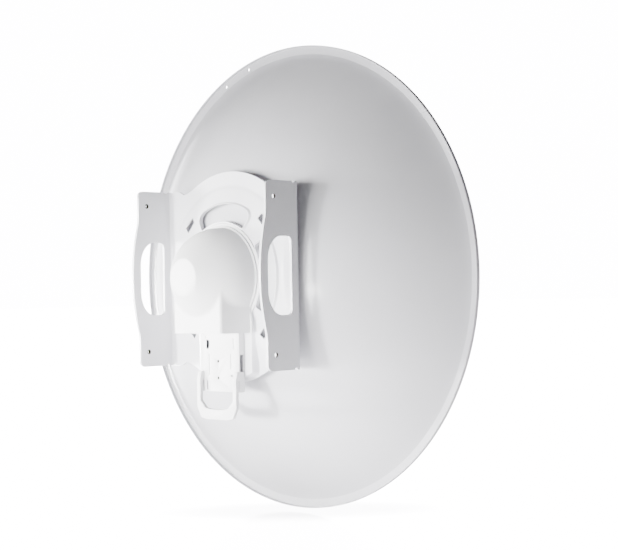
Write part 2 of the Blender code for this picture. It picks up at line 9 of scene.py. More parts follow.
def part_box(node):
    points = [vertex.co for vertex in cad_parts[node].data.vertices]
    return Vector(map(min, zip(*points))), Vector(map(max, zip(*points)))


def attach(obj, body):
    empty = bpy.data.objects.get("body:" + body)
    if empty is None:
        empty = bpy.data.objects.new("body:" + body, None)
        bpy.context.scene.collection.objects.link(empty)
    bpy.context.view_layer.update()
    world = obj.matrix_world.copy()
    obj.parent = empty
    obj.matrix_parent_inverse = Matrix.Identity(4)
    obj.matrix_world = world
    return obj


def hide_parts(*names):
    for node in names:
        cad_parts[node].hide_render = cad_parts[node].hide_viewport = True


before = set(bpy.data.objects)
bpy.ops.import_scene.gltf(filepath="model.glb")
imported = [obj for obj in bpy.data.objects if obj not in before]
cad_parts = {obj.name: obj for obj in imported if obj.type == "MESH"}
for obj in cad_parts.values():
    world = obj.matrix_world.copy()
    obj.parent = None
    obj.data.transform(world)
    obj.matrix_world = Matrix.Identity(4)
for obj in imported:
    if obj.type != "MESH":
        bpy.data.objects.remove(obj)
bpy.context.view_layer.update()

# Reflector
# A spun sheet-steel paraboloid with a flat hub, a flat rim band and a lip rolled towards its back.
# It is coated in white polyester powder, baked to a soft satin with a faint orange peel.
low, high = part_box("reflector")
SHEET = 0.0015
# Every size below is in metres from this point, the rim plane on the dish's axis, +Y to the back.
CENTRE = Vector(((low[0] + high[0]) / 2, low[1] + SHEET, (low[2] + high[2]) / 2))
RIM_RADIUS = (high[0] - low[0]) / 2
BOWL_RADIUS = 0.311
BOWL_DEPTH = 0.142
BOWL_STEPS = 60
LIP_HEIGHT = 0.005
HUB_RADIUS = 0.060
HUB_BEND = 0.002
HUB_FACE = BOWL_DEPTH * (1 - (HUB_RADIUS / BOWL_RADIUS) ** 2)
FEED_BORE = 0.0203
RIM_HOLES = ((0.0937, 0.3030), (0.1424, 0.2831))
RIM_HOLE_RADIUS = 0.0022


def to_linear(hex_colour):
    """A linear colour with alpha from an sRGB hex value."""
    parts = [int(hex_colour[i:i + 2], 16) / 255 for i in (1, 3, 5)]
    return [p / 12.92 if p <= 0.04045 else ((p + 0.055) / 1.055) ** 2.4 for p in parts] + [1.0]


def add_node(tree, kind, settings=None, sockets=None):
    """Adds a node, sets its properties, and fills its sockets with values or links."""
    node = tree.nodes.new(kind)
    for name, value in (settings or {}).items():
        setattr(node, name, value)
    for name, value in (sockets or {}).items():
        if isinstance(value, bpy.types.NodeSocket):
            tree.links.new(value, node.inputs[name])
        else:
            node.inputs[name].default_value = value
    return node


def start_material(name):
    """A new material, with its node tree, its shader and the place of each point on the piece."""
    made = bpy.data.materials.new(name)
    made.use_nodes = True
    tree = made.node_tree
    place = add_node(tree, "ShaderNodeTexCoord").outputs["Object"]
    return made, tree, tree.nodes["Principled BSDF"], place


def colour_and_gloss(tree, shader, light, shade, flow, grain, gloss, relief=None):
    """Mixes two close colours by one pattern. Another varies the gloss and can lift a fine relief."""
    tone = add_node(tree, "ShaderNodeMix", {"data_type": "RGBA"}, {
        "Factor": flow, 6: to_linear(light), 7: to_linear(shade)})
    rough = add_node(tree, "ShaderNodeMapRange", None, {
        "Value": grain, "From Min": 0.3, "From Max": 0.7, "To Min": gloss[0], "To Max": gloss[1]})
    tree.links.new(tone.outputs[2], shader.inputs["Base Color"])
    tree.links.new(rough.outputs["Result"], shader.inputs["Roughness"])
    if relief:
        bump = add_node(tree, "ShaderNodeBump", None, {
            "Strength": relief[0], "Distance": relief[1], "Height": grain})
        tree.links.new(bump.outputs["Normal"], shader.inputs["Normal"])


def powder_coat(name, light, shade, peel_mm, patch_mm):
    """Satin polyester powder on steel: two close whites in broad patches, orange peel, uneven gloss."""
    made, tree, shader, place = start_material(name)
    patches = add_node(tree, "ShaderNodeTexNoise", None, {
        "Vector": place, "Scale": 1000 / patch_mm, "Detail": 3.0, "Roughness": 0.45})
    spread = add_node(tree, "ShaderNodeMapRange", None, {
        "Value": patches.outputs["Fac"], "From Min": 0.35, "From Max": 0.65})
    peel = add_node(tree, "ShaderNodeTexNoise", None, {
        "Vector": place, "Scale": 1000 / peel_mm, "Detail": 2.0, "Roughness": 0.5})
    colour_and_gloss(tree, shader, light, shade, spread.outputs["Result"], peel.outputs["Fac"],
                     (0.3, 0.4), (0.25, 0.00006))
    shader.inputs["IOR"].default_value = 1.5
    shader.inputs["Coat Weight"].default_value = 0.3
    shader.inputs["Coat Roughness"].default_value = 0.12
    return made


def rounded(corners, steps=6):
    """A line through (u, v, radius) corners, with an arc of that radius in place of each corner."""
    points = []
    for i, (u, v, radius) in enumerate(corners):
        here = Vector((u, v))
        if radius <= 0 or i in (0, len(corners) - 1):
            points.append((u, v))
            continue
        before = (Vector(corners[i - 1][:2]) - here).normalized()
        after = (Vector(corners[i + 1][:2]) - here).normalized()
        half = before.angle(after) / 2
        if half > math.pi / 2 - 0.01:
            points.append((u, v))
            continue
        reach = radius / math.tan(half)
        middle = here + (before + after).normalized() * (radius / math.sin(half))
        start = here + before * reach - middle
        end = here + after * reach - middle
        turn = start.angle_signed(end)
        for k in range(steps + 1):
            spoke = start.copy()
            spoke.rotate(Matrix.Rotation(-turn * k / steps, 2))
            points.append(tuple(middle + spoke))
    return points


def sheet_profile(centre_line, thickness):
    """The closed outline of a sheet of even thickness about a centre line, with rounded ends."""
    line = [Vector(p) for p in centre_line]
    left, right = [], []
    for i, point in enumerate(line):
        along = (line[min(i + 1, len(line) - 1)] - line[max(i - 1, 0)]).normalized()
        across = Vector((-along.y, along.x)) * thickness / 2
        left.append(point + across)
        right.append(point - across)
    ends = []
    for point, inward, side in ((line[-1], line[-2], left[-1]), (line[0], line[1], right[0])):
        outward = (point - inward).normalized() * thickness / 2
        across = side - point
        ends.append([point + across * math.cos(a) + outward * math.sin(a)
                     for a in (math.radians(30), math.radians(90), math.radians(150))])
    return [tuple(p) for p in left + ends[0] + right[::-1] + ends[1]]


def as_piece(name, shape):
    """Makes an object of the scene from a finished bmesh."""
    mesh = bpy.data.meshes.new(name)
    shape.to_mesh(mesh)
    shape.free()
    made = bpy.data.objects.new(name, mesh)
    bpy.context.scene.collection.objects.link(made)
    return made


def bridge(shape, rows):
    """Fills the faces between neighbouring rows of points."""
    for here, there in zip(rows, rows[1:]):
        for i in range(len(here) - 1):
            shape.faces.new((here[i], here[i + 1], there[i + 1], there[i]))


def turned(name, profile, steps, closed=True, sweep=(0.0, 360.0)):
    """Turns (radius, y) points about the dish's axis, all the way round or through part of a turn."""
    shape = bmesh.new()
    whole = sweep[1] - sweep[0] >= 360.0
    rings = []
    for k in range(steps + (0 if whole else 1)):
        angle = math.radians(sweep[0] + (sweep[1] - sweep[0]) * k / steps)
        c, s = math.cos(angle), math.sin(angle)
        rings.append([shape.verts.new((r * c, y, r * s)) for r, y in profile])
    rows = [ring + ring[:1] if closed else ring for ring in rings]
    bridge(shape, rows + rows[:1] if whole else rows)
    if not whole:
        shape.faces.new(rings[0])
        shape.faces.new(rings[-1][::-1])
    bmesh.ops.remove_doubles(shape, verts=shape.verts, dist=0.000002)
    bmesh.ops.recalc_face_normals(shape, faces=shape.faces)
    return as_piece(name, shape)


def cylinder(name, radius, start, end, sides):
    """A plain cylinder between two points, used as a cutting tool or a stub to shape further."""
    start, end = Vector(start), Vector(end)
    shape = bmesh.new()
    bmesh.ops.create_cone(shape, cap_ends=True, segments=sides, radius1=radius, radius2=radius,
                          depth=(end - start).length)
    turn = Vector((0, 0, 1)).rotation_difference(end - start).to_matrix().to_4x4()
    bmesh.ops.transform(shape, matrix=Matrix.Translation((start + end) / 2) @ turn, verts=shape.verts)
    return as_piece(name, shape)


def apply_modifiers(piece):
    """Turns a piece's modifiers into plain mesh."""
    bpy.context.view_layer.update()
    baked = bpy.data.meshes.new_from_object(piece.evaluated_get(bpy.context.evaluated_depsgraph_get()))
    piece.modifiers.clear()
    piece.data = baked
    return piece


def combine(piece, tools, operation="DIFFERENCE"):
    """Cuts tools out of a piece, or joins them to it, and removes the tools."""
    for tool in tools:
        step = piece.modifiers.new("shape", "BOOLEAN")
        step.operation = operation
        step.solver = "EXACT"
        step.object = tool
    apply_modifiers(piece)
    for tool in tools:
        bpy.data.objects.remove(tool, do_unlink=True)
    return piece


def soften(piece, width, angle):
    """Rounds a piece's sharp edges."""
    step = piece.modifiers.new("edges", "BEVEL")
    step.width = width
    step.segments = 2
    step.limit_method = "ANGLE"
    step.angle_limit = math.radians(angle)
    step.use_clamp_overlap = True
    return apply_modifiers(piece)


def settle(piece, finish, nodes, smooth=35.0, patches=()):
    """Moves a finished piece from the dish's axis into the part, gives it its finish, and ties it on.

    Each patch is a second finish with a test that picks its faces.
    """
    piece.data.shade_smooth()
    piece.data.set_sharp_from_angle(angle=math.radians(smooth))
    piece.data.materials.clear()
    piece.data.materials.append(finish)
    for number, (extra, chosen) in enumerate(patches, 1):
        piece.data.materials.append(extra)
        for face in piece.data.polygons:
            if chosen(face):
                face.material_index = number
    piece.data.transform(Matrix.Translation(CENTRE))
    if nodes:
        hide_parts(*nodes)
    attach(piece, "root")
    return piece


hub_line = [(FEED_BORE + SHEET / 2, HUB_FACE - SHEET / 2), (HUB_RADIUS - HUB_BEND, HUB_FACE - SHEET / 2)]
bowl_line = []
bowl_start, bowl_end = HUB_RADIUS + HUB_BEND, BOWL_RADIUS - 0.0035
for step in range(BOWL_STEPS + 1):
    radius = bowl_start + (bowl_end - bowl_start) * step / BOWL_STEPS
    slope = 2 * BOWL_DEPTH * radius / BOWL_RADIUS ** 2
    drop = SHEET / 2 / math.hypot(slope, 1.0)
    bowl_line.append((radius - drop * slope, BOWL_DEPTH * (1 - (radius / BOWL_RADIUS) ** 2) - drop))
last = bowl_line[-1]
rim_line = rounded([
    (*last, 0.0), (BOWL_RADIUS + 0.0006, -SHEET / 2, 0.0020), (RIM_RADIUS - SHEET / 2, -SHEET / 2, 0.0007),
    (RIM_RADIUS - SHEET / 2, LIP_HEIGHT - SHEET / 2, 0.0)])[1:]
dish = turned("reflector_spun_dish", sheet_profile(hub_line + bowl_line + rim_line, SHEET), 256)
combine(dish, [cylinder("rim_drill", RIM_HOLE_RADIUS, (x, -0.01, z), (x, 0.01, z), 20) for x, z in RIM_HOLES])
# The satin powder gives broad, soft highlights, and its orange peel just breaks them up. Its white is set
# darker than the same powder on the bracket: painted shade.
dish_white_with_painted_shade = powder_coat("satin polyester powder coat on spun steel", "#D4D4D8", "#D0D0D4", 2.5, 90)
settle(dish, dish_white_with_painted_shade, ["reflector"], 30.0)


# Rear bracket
# One blank of 3.5 mm steel, powder coated: its middle is drawn into a low dome, a flat seat is raised
# below, the kidney openings get drawn lips, and both sides fold back as flanges with hand slots.
PLATE = 0.0035
FLANGE_OUTSIDE = 0.1286
FLANGE_INSIDE = FLANGE_OUTSIDE - PLATE
FOLD_INNER = 0.0018
FOLD_START = FLANGE_INSIDE - FOLD_INNER
FOLD_LENGTH = FOLD_INNER * math.pi / 2
PLATE_BACK = 0.1275
HUB_BACK = 0.1405
SEAT_BACK = 0.1402
RING_RADIUS = 0.1425
RING_END_X = 0.067
FLANGE_TOP = 0.1215
FLANGE_BACK = 0.1835
FLANGE_CORNER = 0.008
FLANGE_BULGE = 0.0108
BULGE_HALF = 0.077
BULGE_TOP = 0.084
RELIEF_Y = 0.1335
RELIEF_RADIUS = 0.0026
BOLT_HOLE_Y = 0.169
BOLT_HOLE_Z = 0.101
BOLT_HOLE_RADIUS = 0.00325
# The blank's edge from a flange to its round middle as (x, z), and the dome's section as (radius, y).
SHOULDER = ((0.1070, 0.1213), (0.1030, 0.1204), (0.0992, 0.1188), (0.0955, 0.1171), (0.0920, 0.1165),
            (0.0880, 0.1170), (0.0830, 0.1186), (0.0780, 0.1205), (0.0725, 0.1230))
DOME_LINE = ((0.0, 0.1405), (0.074, 0.1405), (0.103, 0.1351), (0.1205, 0.1311), (0.1232, 0.1298),
             (0.1425, 0.1284), (0.160, 0.1278), (0.220, 0.1275))
# Each kidney opening lies between two radii and half an angle to each side, with a lip drawn round it.
KIDNEY = (0.0745, 0.0985, math.radians(32.5))
LIP = 0.0026
WINDOW_CENTRE = 0.103
WINDOW_HALF = (0.0046, 0.0098)
# The plate is coined thinner round each window by this much, from the dish's side.
COINED = 0.0019
# The seat's half width, the width of its side walls, its top and the height of its top slope, and the
# radius where it runs out at the edge of the plate.
SEAT_HALF, SEAT_WALL, SEAT_TOP, SEAT_SLOPE, SEAT_EDGE = 0.0556, 0.0040, -0.068, 0.006, 0.1368
SEAT_WALL_AT_EDGE = 0.0042
# From this far to each side the dome dies out towards the folds.
DOME_FADE = 0.106


def arc_points(centre_u, centre_v, radius_u, start, end, count, radius_v=None):
    """Points on an arc, angles in degrees."""
    radius_v = radius_u if radius_v is None else radius_v
    spread = [math.radians(start + (end - start) * i / count) for i in range(count + 1)]
    return [(centre_u + radius_u * math.cos(a), centre_v + radius_v * math.sin(a)) for a in spread]


def along_flange(y):
    """Distance over the flat blank, from its middle, of a height y on a folded flange."""
    return FOLD_START + FOLD_LENGTH + (y - PLATE_BACK - FOLD_INNER)


def dense(loop, spacing):
    """The same closed loop with no stretch longer than the spacing."""
    points = []
    for (u0, v0), (u1, v1) in zip(loop, loop[1:] + loop[:1]):
        pieces = max(1, math.ceil(math.hypot(u1 - u0, v1 - v0) / spacing))
        points += [(u0 + (u1 - u0) * k / pieces, v0 + (v1 - v0) * k / pieces) for k in range(pieces)]
    return points


def flange_rise(z):
    """How far a flange's long edge bulges backwards at a height z, with a soft start at each end."""
    soft = 0.006
    past = BULGE_HALF - abs(z)
    if past >= soft:
        return FLANGE_BULGE * (1 - (z / BULGE_HALF) ** 2)
    return FLANGE_BULGE / (2 * BULGE_HALF * soft) * max(past + soft, 0.0) ** 2


def blank_outline():
    """Outline of the flat blank: the round middle, the shoulders, and the flanges laid out flat."""
    start = math.degrees(math.acos(RING_END_X / RING_RADIUS))
    quarter = arc_points(0.0, 0.0, RING_RADIUS, 90, start, 26)
    quarter += SHOULDER[::-1] + ((FOLD_START, FLANGE_TOP),)
    notch = arc_points(RELIEF_Y, FLANGE_TOP, RELIEF_RADIUS, 180, 360, 8)
    corner = arc_points(FLANGE_BACK - FLANGE_CORNER, FLANGE_TOP - FLANGE_CORNER, FLANGE_CORNER, 90, 0, 6)
    quarter += [(along_flange(y), z) for y, z in notch + corner]
    for k in range(24):
        z = BULGE_TOP * (1 - k / 24)
        quarter.append((along_flange(FLANGE_BACK + flange_rise(z)), z))
    quarter.append((along_flange(FLANGE_BACK + FLANGE_BULGE), 0.0))
    right = quarter + [(u, -v) for u, v in quarter[-2::-1]]
    return right + [(-u, v) for u, v in right[-2:0:-1]]


def hand_slot():
    """Slot in a flange as (y, z): tight corners near the fold, long swept ones near the back."""
    half = [(0.181, 0.0)] + arc_points(0.157, 0.0185, 0.024, 0, 90, 12, 0.032)
    half += arc_points(0.145, 0.0445, 0.006, 90, 180, 6)
    return half + [(y, -z) for y, z in half[:0:-1]]


def rotated(points, angle):
    """Points turned about the dish's axis by an angle in radians."""
    c, s = math.cos(angle), math.sin(angle)
    return [(u * c - v * s, u * s + v * c) for u, v in points]


def kidney_loop(turn, grow=0.0):
    """A kidney opening about an angle, as (x, z), optionally grown all round."""
    inner, outer, half = KIDNEY
    big, small = 0.011, 0.003
    far = half - math.asin(big / (outer - big))
    near = half - math.asin(small / (inner + small))
    far_turn, near_turn = math.degrees(far), math.degrees(near)
    outline = arc_points(0.0, 0.0, outer, 0.0, far_turn * 0.9, 9)
    outline += arc_points((outer - big) * math.cos(far), (outer - big) * math.sin(far),
                          big, far_turn, far_turn + 90, 9)
    outline += arc_points((inner + small) * math.cos(near), (inner + small) * math.sin(near),
                          small, near_turn + 90, near_turn + 180, 5)
    outline += arc_points(0.0, 0.0, inner, near_turn * 7 / 8, 0.0, 7)
    outline = outline + [(u, -v) for u, v in outline[-2:0:-1]]
    if grow:
        line = [Vector(p) for p in outline]
        moved = []
        for i, point in enumerate(line):
            along = (line[(i + 1) % len(line)] - line[i - 1]).normalized()
            moved.append(point + Vector((along.y, -along.x)) * grow)
        outline = [tuple(p) for p in moved]
    return rotated(outline, turn)


def window_loop(turn):
    """A narrow rectangular window on a diagonal of the domed part, with slightly rounded corners."""
    half_u, half_v = WINDOW_HALF
    corners = [(WINDOW_CENTRE + u * half_u, v * half_v) for u, v in ((-1, -1), (1, -1), (1, 1), (-1, 1))]
    ring = [(*c, 0.001) for c in corners]
    loop = rounded([(*corners[3], 0.0)] + ring + [(*corners[0], 0.0)], 3)[1:-1]
    return rotated(loop, math.radians(turn))


def away_from(points, loop):
    """Distance of each point from the nearest edge of a closed loop."""
    corners = np.array(loop)
    best = np.full(len(points), 9.0)
    for a, b in zip(corners, np.roll(corners, -1, axis=0)):
        edge = b - a
        share = np.clip(((points - a) @ edge) / max(edge @ edge, 1e-12), 0, 1)
        best = np.minimum(best, np.linalg.norm(points - a - share[:, None] * edge, axis=1))
    return best


def inside(points, loop):
    """Which points lie inside a closed loop."""
    result = np.zeros(len(points), bool)
    x, y = points[:, 0], points[:, 1]
    for (x0, y0), (x1, y1) in zip(loop, loop[1:] + loop[:1]):
        if y0 == y1:
            continue
        crossing = (y0 > y) != (y1 > y)
        result ^= crossing & (x < (x1 - x0) * (y - y0) / (y1 - y0) + x0)
    return result


def smooth_step(value):
    """A smooth ramp from 0 to 1."""
    value = np.clip(value, 0, 1)
    return value * value * (3 - 2 * value)


dome_reach = np.arange(0.0, 0.24, 0.00025)
dome_rise = np.interp(dome_reach, *zip(*DOME_LINE))
dome_rise = np.convolve(np.pad(dome_rise, 8, mode="edge"), np.ones(17) / 17, mode="valid")
kidneys = [kidney_loop(math.radians(turn)) for turn in (0, 90, 180)]
windows = [window_loop(turn) for turn in (45, 135, 225, 315)]


def pressed(points):
    """Heights of the plate's back skin and of its front skin, at (x, z) points on the plate."""
    x, z = points[:, 0], points[:, 1]
    reach = np.hypot(x, z)
    dome = np.interp(reach, dome_reach, dome_rise)
    to_fold = 1 - smooth_step((np.abs(x) - DOME_FADE) / (FOLD_START - DOME_FADE))
    base = PLATE_BACK + (dome - PLATE_BACK) * to_fold
    across = smooth_step((SEAT_HALF - np.abs(x)) / SEAT_WALL)
    down = smooth_step((SEAT_TOP - z) / SEAT_SLOPE)
    edge = 1 - smooth_step((reach - SEAT_EDGE) / SEAT_WALL_AT_EDGE)
    base = base + (SEAT_BACK - base) * across * down * edge
    back = base.copy()
    for loop in kidneys:
        back += LIP * (1 - smooth_step((away_from(points, loop) - 0.0008) / 0.0022))
    thin = np.zeros(len(points))
    for loop in windows:
        thin = np.maximum(thin, 1 - smooth_step((away_from(points, loop) - 0.0015) / 0.003))
    return back, base - PLATE + COINED * thin


outline = dense(blank_outline(), 0.0026)
slots = [dense([(side * along_flange(y), z) for y, z in hand_slot()], 0.0024) for side in (1, -1)]
holes = [dense(loop, 0.0022) for loop in kidneys] + slots + [dense(loop, 0.0022) for loop in windows]
holes += [arc_points(side * along_flange(BOLT_HOLE_Y), end * BOLT_HOLE_Z, BOLT_HOLE_RADIUS, 0, 345, 23)
          for side in (1, -1) for end in (1, -1)]
holes.append(arc_points(0, 0, FEED_BORE, 0, 354, 59))
# The blank is meshed from points 1 to 3 mm apart, closest at the dome's foot, the seat's walls, the
# lips of the kidney openings and the folds.
grid = []
for ring in np.concatenate([np.arange(0.0235, 0.117, 0.0026), np.arange(0.118, 0.127, 0.0011),
                            np.arange(0.1285, 0.142, 0.0022)]):
    count = int(2 * math.pi * ring / 0.0029)
    grid += arc_points(0.0, 0.0, ring, 180 / count, 360 - 180 / count, count - 1)
grid = [(x, z) for x, z in grid
        if abs(x) < FOLD_START - 0.001 and not (0.0495 < abs(x) < 0.0575 and z < SEAT_TOP + 0.001)]
for side in (1, -1):
    for x in (0.0500, 0.0513, 0.0520, 0.0528, 0.0536, 0.0544, 0.0552, 0.0560, 0.0572):
        grid += [(side * x, SEAT_TOP - 0.0022 * k) for k in range(32)]
    for z in np.arange(-0.1195, 0.1196, 0.0030):
        for x in np.arange(0.0720, FOLD_START - 0.0014, 0.0030):
            if math.hypot(x, z) > 0.1437:
                grid.append((side * x, z))
        for turn in range(6):
            grid.append((side * (FOLD_START + FOLD_LENGTH * turn / 5), z))
        far = along_flange(FLANGE_BACK + FLANGE_BULGE)
        grid += [(side * u, z) for u in np.arange(FOLD_START + FOLD_LENGTH + 0.0028, far, 0.0032)]
rings = []
for turn in (0, 90, 180):
    for grow in (0.0008, 0.0012, 0.0017, 0.0022, 0.0029, 0.0038):
        rings += dense(kidney_loop(math.radians(turn), grow), 0.0022)
grid = np.array(grid)
keep = inside(grid, outline) & (away_from(grid, outline) > 0.0011)
for loop in holes[len(kidneys):]:
    keep &= ~inside(grid, loop) & (away_from(grid, loop) > 0.0011)
for loop in kidneys:
    keep &= ~inside(grid, loop) & (away_from(grid, loop) > 0.0050)
points = [tuple(p) for p in grid[keep]] + rings
edges = []
for loop in [outline] + holes:
    first = len(points)
    points += loop
    edges += [(first + k, first + (k + 1) % len(loop)) for k in range(len(loop))]
flat = geometry.delaunay_2d_cdt([Vector(p) for p in points], edges, [], 0, 0.00001)
spots = np.array([tuple(v) for v in flat[0]])
faces = np.array([f for f in flat[2] if len(f) == 3])
middles = spots[faces].mean(axis=1)
good = inside(middles, outline)
for loop in holes:
    good &= ~inside(middles, loop)
faces = faces[good]


def on_blank(spots, front):
    """Places of blank points after pressing and folding, on the back skin or on the front skin."""
    run = np.abs(spots[:, 0]) - FOLD_START
    side = np.sign(spots[:, 0])
    back, behind = pressed(spots)
    places = np.stack([spots[:, 0], behind if front else back, spots[:, 1]], axis=1)
    angle = np.clip(run / FOLD_INNER, 0, math.pi / 2)
    reach = FOLD_INNER + (PLATE if front else 0.0)
    straight = np.maximum(run - FOLD_LENGTH, 0)
    folded = run > 0
    x = FOLD_START + reach * np.sin(angle)
    y = PLATE_BACK + FOLD_INNER - reach * np.cos(angle) + straight
    places[folded, 0] = (side * x)[folded]
    places[folded, 1] = y[folded]
    return places


back_skin, front_skin = on_blank(spots, False), on_blank(spots, True)
shape = bmesh.new()
backs = [shape.verts.new(p) for p in back_skin]
fronts = [shape.verts.new(p) for p in front_skin]
for a, b, c in faces:
    shape.faces.new((backs[a], backs[b], backs[c]))
    shape.faces.new((fronts[c], fronts[b], fronts[a]))
shape.verts.index_update()
rim_edges = [(e.verts[0].index, e.verts[1].index) for e in shape.edges if len(e.link_faces) == 1]
count = len(backs)
for a, b in rim_edges:
    if a < count:
        shape.faces.new((backs[a], backs[b], fronts[b], fronts[a]))
loose = [v for v in shape.verts if not v.link_faces]
bmesh.ops.delete(shape, geom=loose, context="VERTS")
bmesh.ops.recalc_face_normals(shape, faces=shape.faces)
bracket = as_piece("bracket_pressed_plate", shape)
soften(bracket, 0.0006, 62.0)
# The powder lies a little thicker here, so that the cut edges look rounded and catch a thin light.
bracket_white = powder_coat("satin polyester powder coat on pressed steel", "#F0F0F3", "#ECECF0", 2.0, 60)


def plated_metal(name, light, shade, grain_mm, *gloss):
    """A plated or bare metal with a mottle in its colour and gloss.

    The real crystals are under 0.1 mm, so they are drawn coarser to show at all.
    """
    made, tree, shader, place = start_material(name)
    mottle = add_node(tree, "ShaderNodeTexNoise", None, {
        "Vector": place, "Scale": 1000 / grain_mm, "Detail": 4.0, "Roughness": 0.6})
    colour_and_gloss(tree, shader, light, shade, mottle.outputs["Fac"], mottle.outputs["Fac"], gloss)
    shader.inputs["Metallic"].default_value = 1.0
    return made


def in_bolt_hole(face):
    """Whether a face is in the wall of one of the four bolt holes, and not on a flange's flat side."""
    x, y, z = face.center
    return (FLANGE_INSIDE < abs(x) < FLANGE_OUTSIDE and abs(face.normal.x) < 0.95
            and math.hypot(y - BOLT_HOLE_Y, abs(z) - BOLT_HOLE_Z) < BOLT_HOLE_RADIUS + 0.0007)


def grained_surface(name, light, shade, grain_mm, *gloss):
    """A matt surface of slightly uneven tone with a fine grain, from a mould or from coating crystals.

    The real grain is about 0.1 mm, so it is drawn coarser to show at all.
    """
    made, tree, shader, place = start_material(name)
    flow = add_node(tree, "ShaderNodeTexNoise", None, {
        "Vector": place, "Scale": 1000 / 45, "Detail": 2.0, "Distortion": 0.6})
    grain = add_node(tree, "ShaderNodeTexNoise", None, {
        "Vector": place, "Scale": 1000 / grain_mm, "Detail": 3.0, "Roughness": 0.6})
    colour_and_gloss(tree, shader, light, shade, flow.outputs["Fac"], grain.outputs["Fac"],
                     gloss, (0.2, 0.00004))
    shader.inputs["IOR"].default_value = 1.52
    return made


# Dark phosphate on the threads, taken near black and dull as painted shade, so each hole reads as a dark,
# deep ring.
phosphate_and_painted_shade = grained_surface("dark phosphate with painted shade in the bolt holes",
                            "#2A241E", "#1B1713", 0.6, 0.75, 0.9)
phosphate_and_painted_shade.node_tree.nodes["Principled BSDF"].inputs["Specular IOR Level"].default_value = 0.2
settle(bracket, bracket_white, ["back_bracket"], 40.0, [(phosphate_and_painted_shade, in_bolt_hole)])


def thread(outer, pitch, start, end):
    """Points down a threaded shank, as rings of the right depth and pitch."""
    points = []
    steps = int(abs(end - start) / pitch)
    way = math.copysign(pitch, end - start)
    for k in range(steps):
        points += [(outer, start + way * (k + 0.35)), (outer - 0.55 * pitch, start + way * (k + 0.85))]
    return points


# The left flange's two holes are lined with thick, flush steel sleeves that carry a small thread, in the same
# painted shade.
for name, z in (("tapped_sleeve_top", BOLT_HOLE_Z), ("tapped_sleeve_bottom", -BOLT_HOLE_Z)):
    near, far = FLANGE_INSIDE + 0.0001, FLANGE_OUTSIDE - 0.0001
    sleeve = turned(name, [(0.0035, near), (0.0016, near)] + thread(0.00152, 0.0005, near, far)
                    + [(0.0016, far), (0.0035, far), (0.0032, far - 0.0006), (0.0032, near + 0.0006)], 28)
    sleeve.data.transform(Matrix.Translation((0.0, BOLT_HOLE_Y, z)) @ Matrix.Rotation(-math.pi / 2, 4, "Z"))
    settle(sleeve, phosphate_and_painted_shade, [], 30.0)


# Cover ring and rear cover
# Both are moulded in white weatherproof plastic with a fine spark-eroded grain. The ring lies on the
# bracket's hub; the cover is a blunt dome over the feed, run down into a drafted, open-bottomed box.
BASE_INNER, BASE_OUTER = 0.0600, 0.0725
BASE_FRONT, BASE_MIDDLE, BASE_BACK = 0.1408, 0.1418, 0.1428
# The ring is open below, this far to each side at this radius.
BASE_GAP = (0.042, 0.066)
COVER_FRONT = 0.1431
COVER_WALL = 0.003
DOME_FOOT = 0.147
DOME_RADIUS = 0.0658
DOME_HEIGHT = 0.0648
DOME_POWER = 2.4
NOSE_RADIUS = 0.0250
NOSE_BACK = 0.2130
BOX_BACK = 0.1895
BOX_BACK_HALF = 0.047
BOX_FRONT_HALF = 0.056
BOX_BOTTOM = -0.074
FOOT_RADIUS = 0.069
FOOT_HALF = 0.0585
FOOT_WALL = 0.004
FOOT_THICKNESS = 0.0025
COVER_TURNS = 90
COVER_ROWS = 62
# The moulding is plain white and just off matt, so its dome shades softly with one broad highlight.
cover_white = grained_surface("spark-grained moulded ASA plastic", "#F2F2F2", "#EEEEEF", 0.9, 0.36, 0.5)
ring_line = rounded([
    (BASE_INNER, BASE_MIDDLE, 0.0), (BASE_INNER, BASE_BACK, 0.0005), (BASE_OUTER, BASE_BACK, 0.0008),
    (BASE_OUTER, BASE_FRONT, 0.0003), (BASE_INNER, BASE_FRONT, 0.0003), (BASE_INNER, BASE_MIDDLE, 0.0)],
    3)[1:-1]
gap = math.degrees(math.asin(BASE_GAP[0] / BASE_GAP[1]))
base = turned("cover_base_ring", ring_line, 140, sweep=(-90 + gap, 270 - gap))
settle(base, cover_white, ["cover_base"])


def dome_radius(y):
    """Radius of the cover's dome at a height y."""
    share = min(max((y - DOME_FOOT) / DOME_HEIGHT, 0.0), 1.0)
    return DOME_RADIUS + (NOSE_RADIUS - DOME_RADIUS) * share ** DOME_POWER


centre_y = COVER_FRONT + 0.0012
profile = [(DOME_RADIUS, centre_y), (DOME_RADIUS, 0.1455)]
for step in range(43):
    y = DOME_FOOT + DOME_HEIGHT * step / 48
    profile.append((dome_radius(y), y))
shoulder = DOME_FOOT + DOME_HEIGHT * 0.9
profile += rounded([(dome_radius(shoulder), shoulder, 0.0), (NOSE_RADIUS, NOSE_BACK - 0.0004, 0.0060),
                    (0.0, NOSE_BACK, 0.0)], 10)[1:]
profile += [(profile[-2][0] * k / 3, NOSE_BACK - 0.0003 * (k / 3)) for k in (2, 1)]
profile = sorted(set(profile), key=lambda p: (p[1], -p[0]))
profile = [p for p in profile if p[0] > 0.0005] + [(0.0, NOSE_BACK)]
profile_reach, profile_rise = zip(*profile)


def box_reach(angle):
    """How far the box's rounded section lies from its base's middle, in a direction."""
    c, s = abs(math.cos(angle)), math.sin(angle)
    best = (BOX_BACK - centre_y) / s if s > 1e-6 else 9.0
    slope = (BOX_FRONT_HALF - BOX_BACK_HALF) / (BOX_BACK - COVER_FRONT)
    side = BOX_FRONT_HALF - slope * (centre_y - COVER_FRONT)
    wall = side / (c + slope * s)
    soft = 0.0050
    blend = max(soft - abs(best - wall), 0.0) / soft
    return min(best, wall) - blend * blend * soft * 0.25


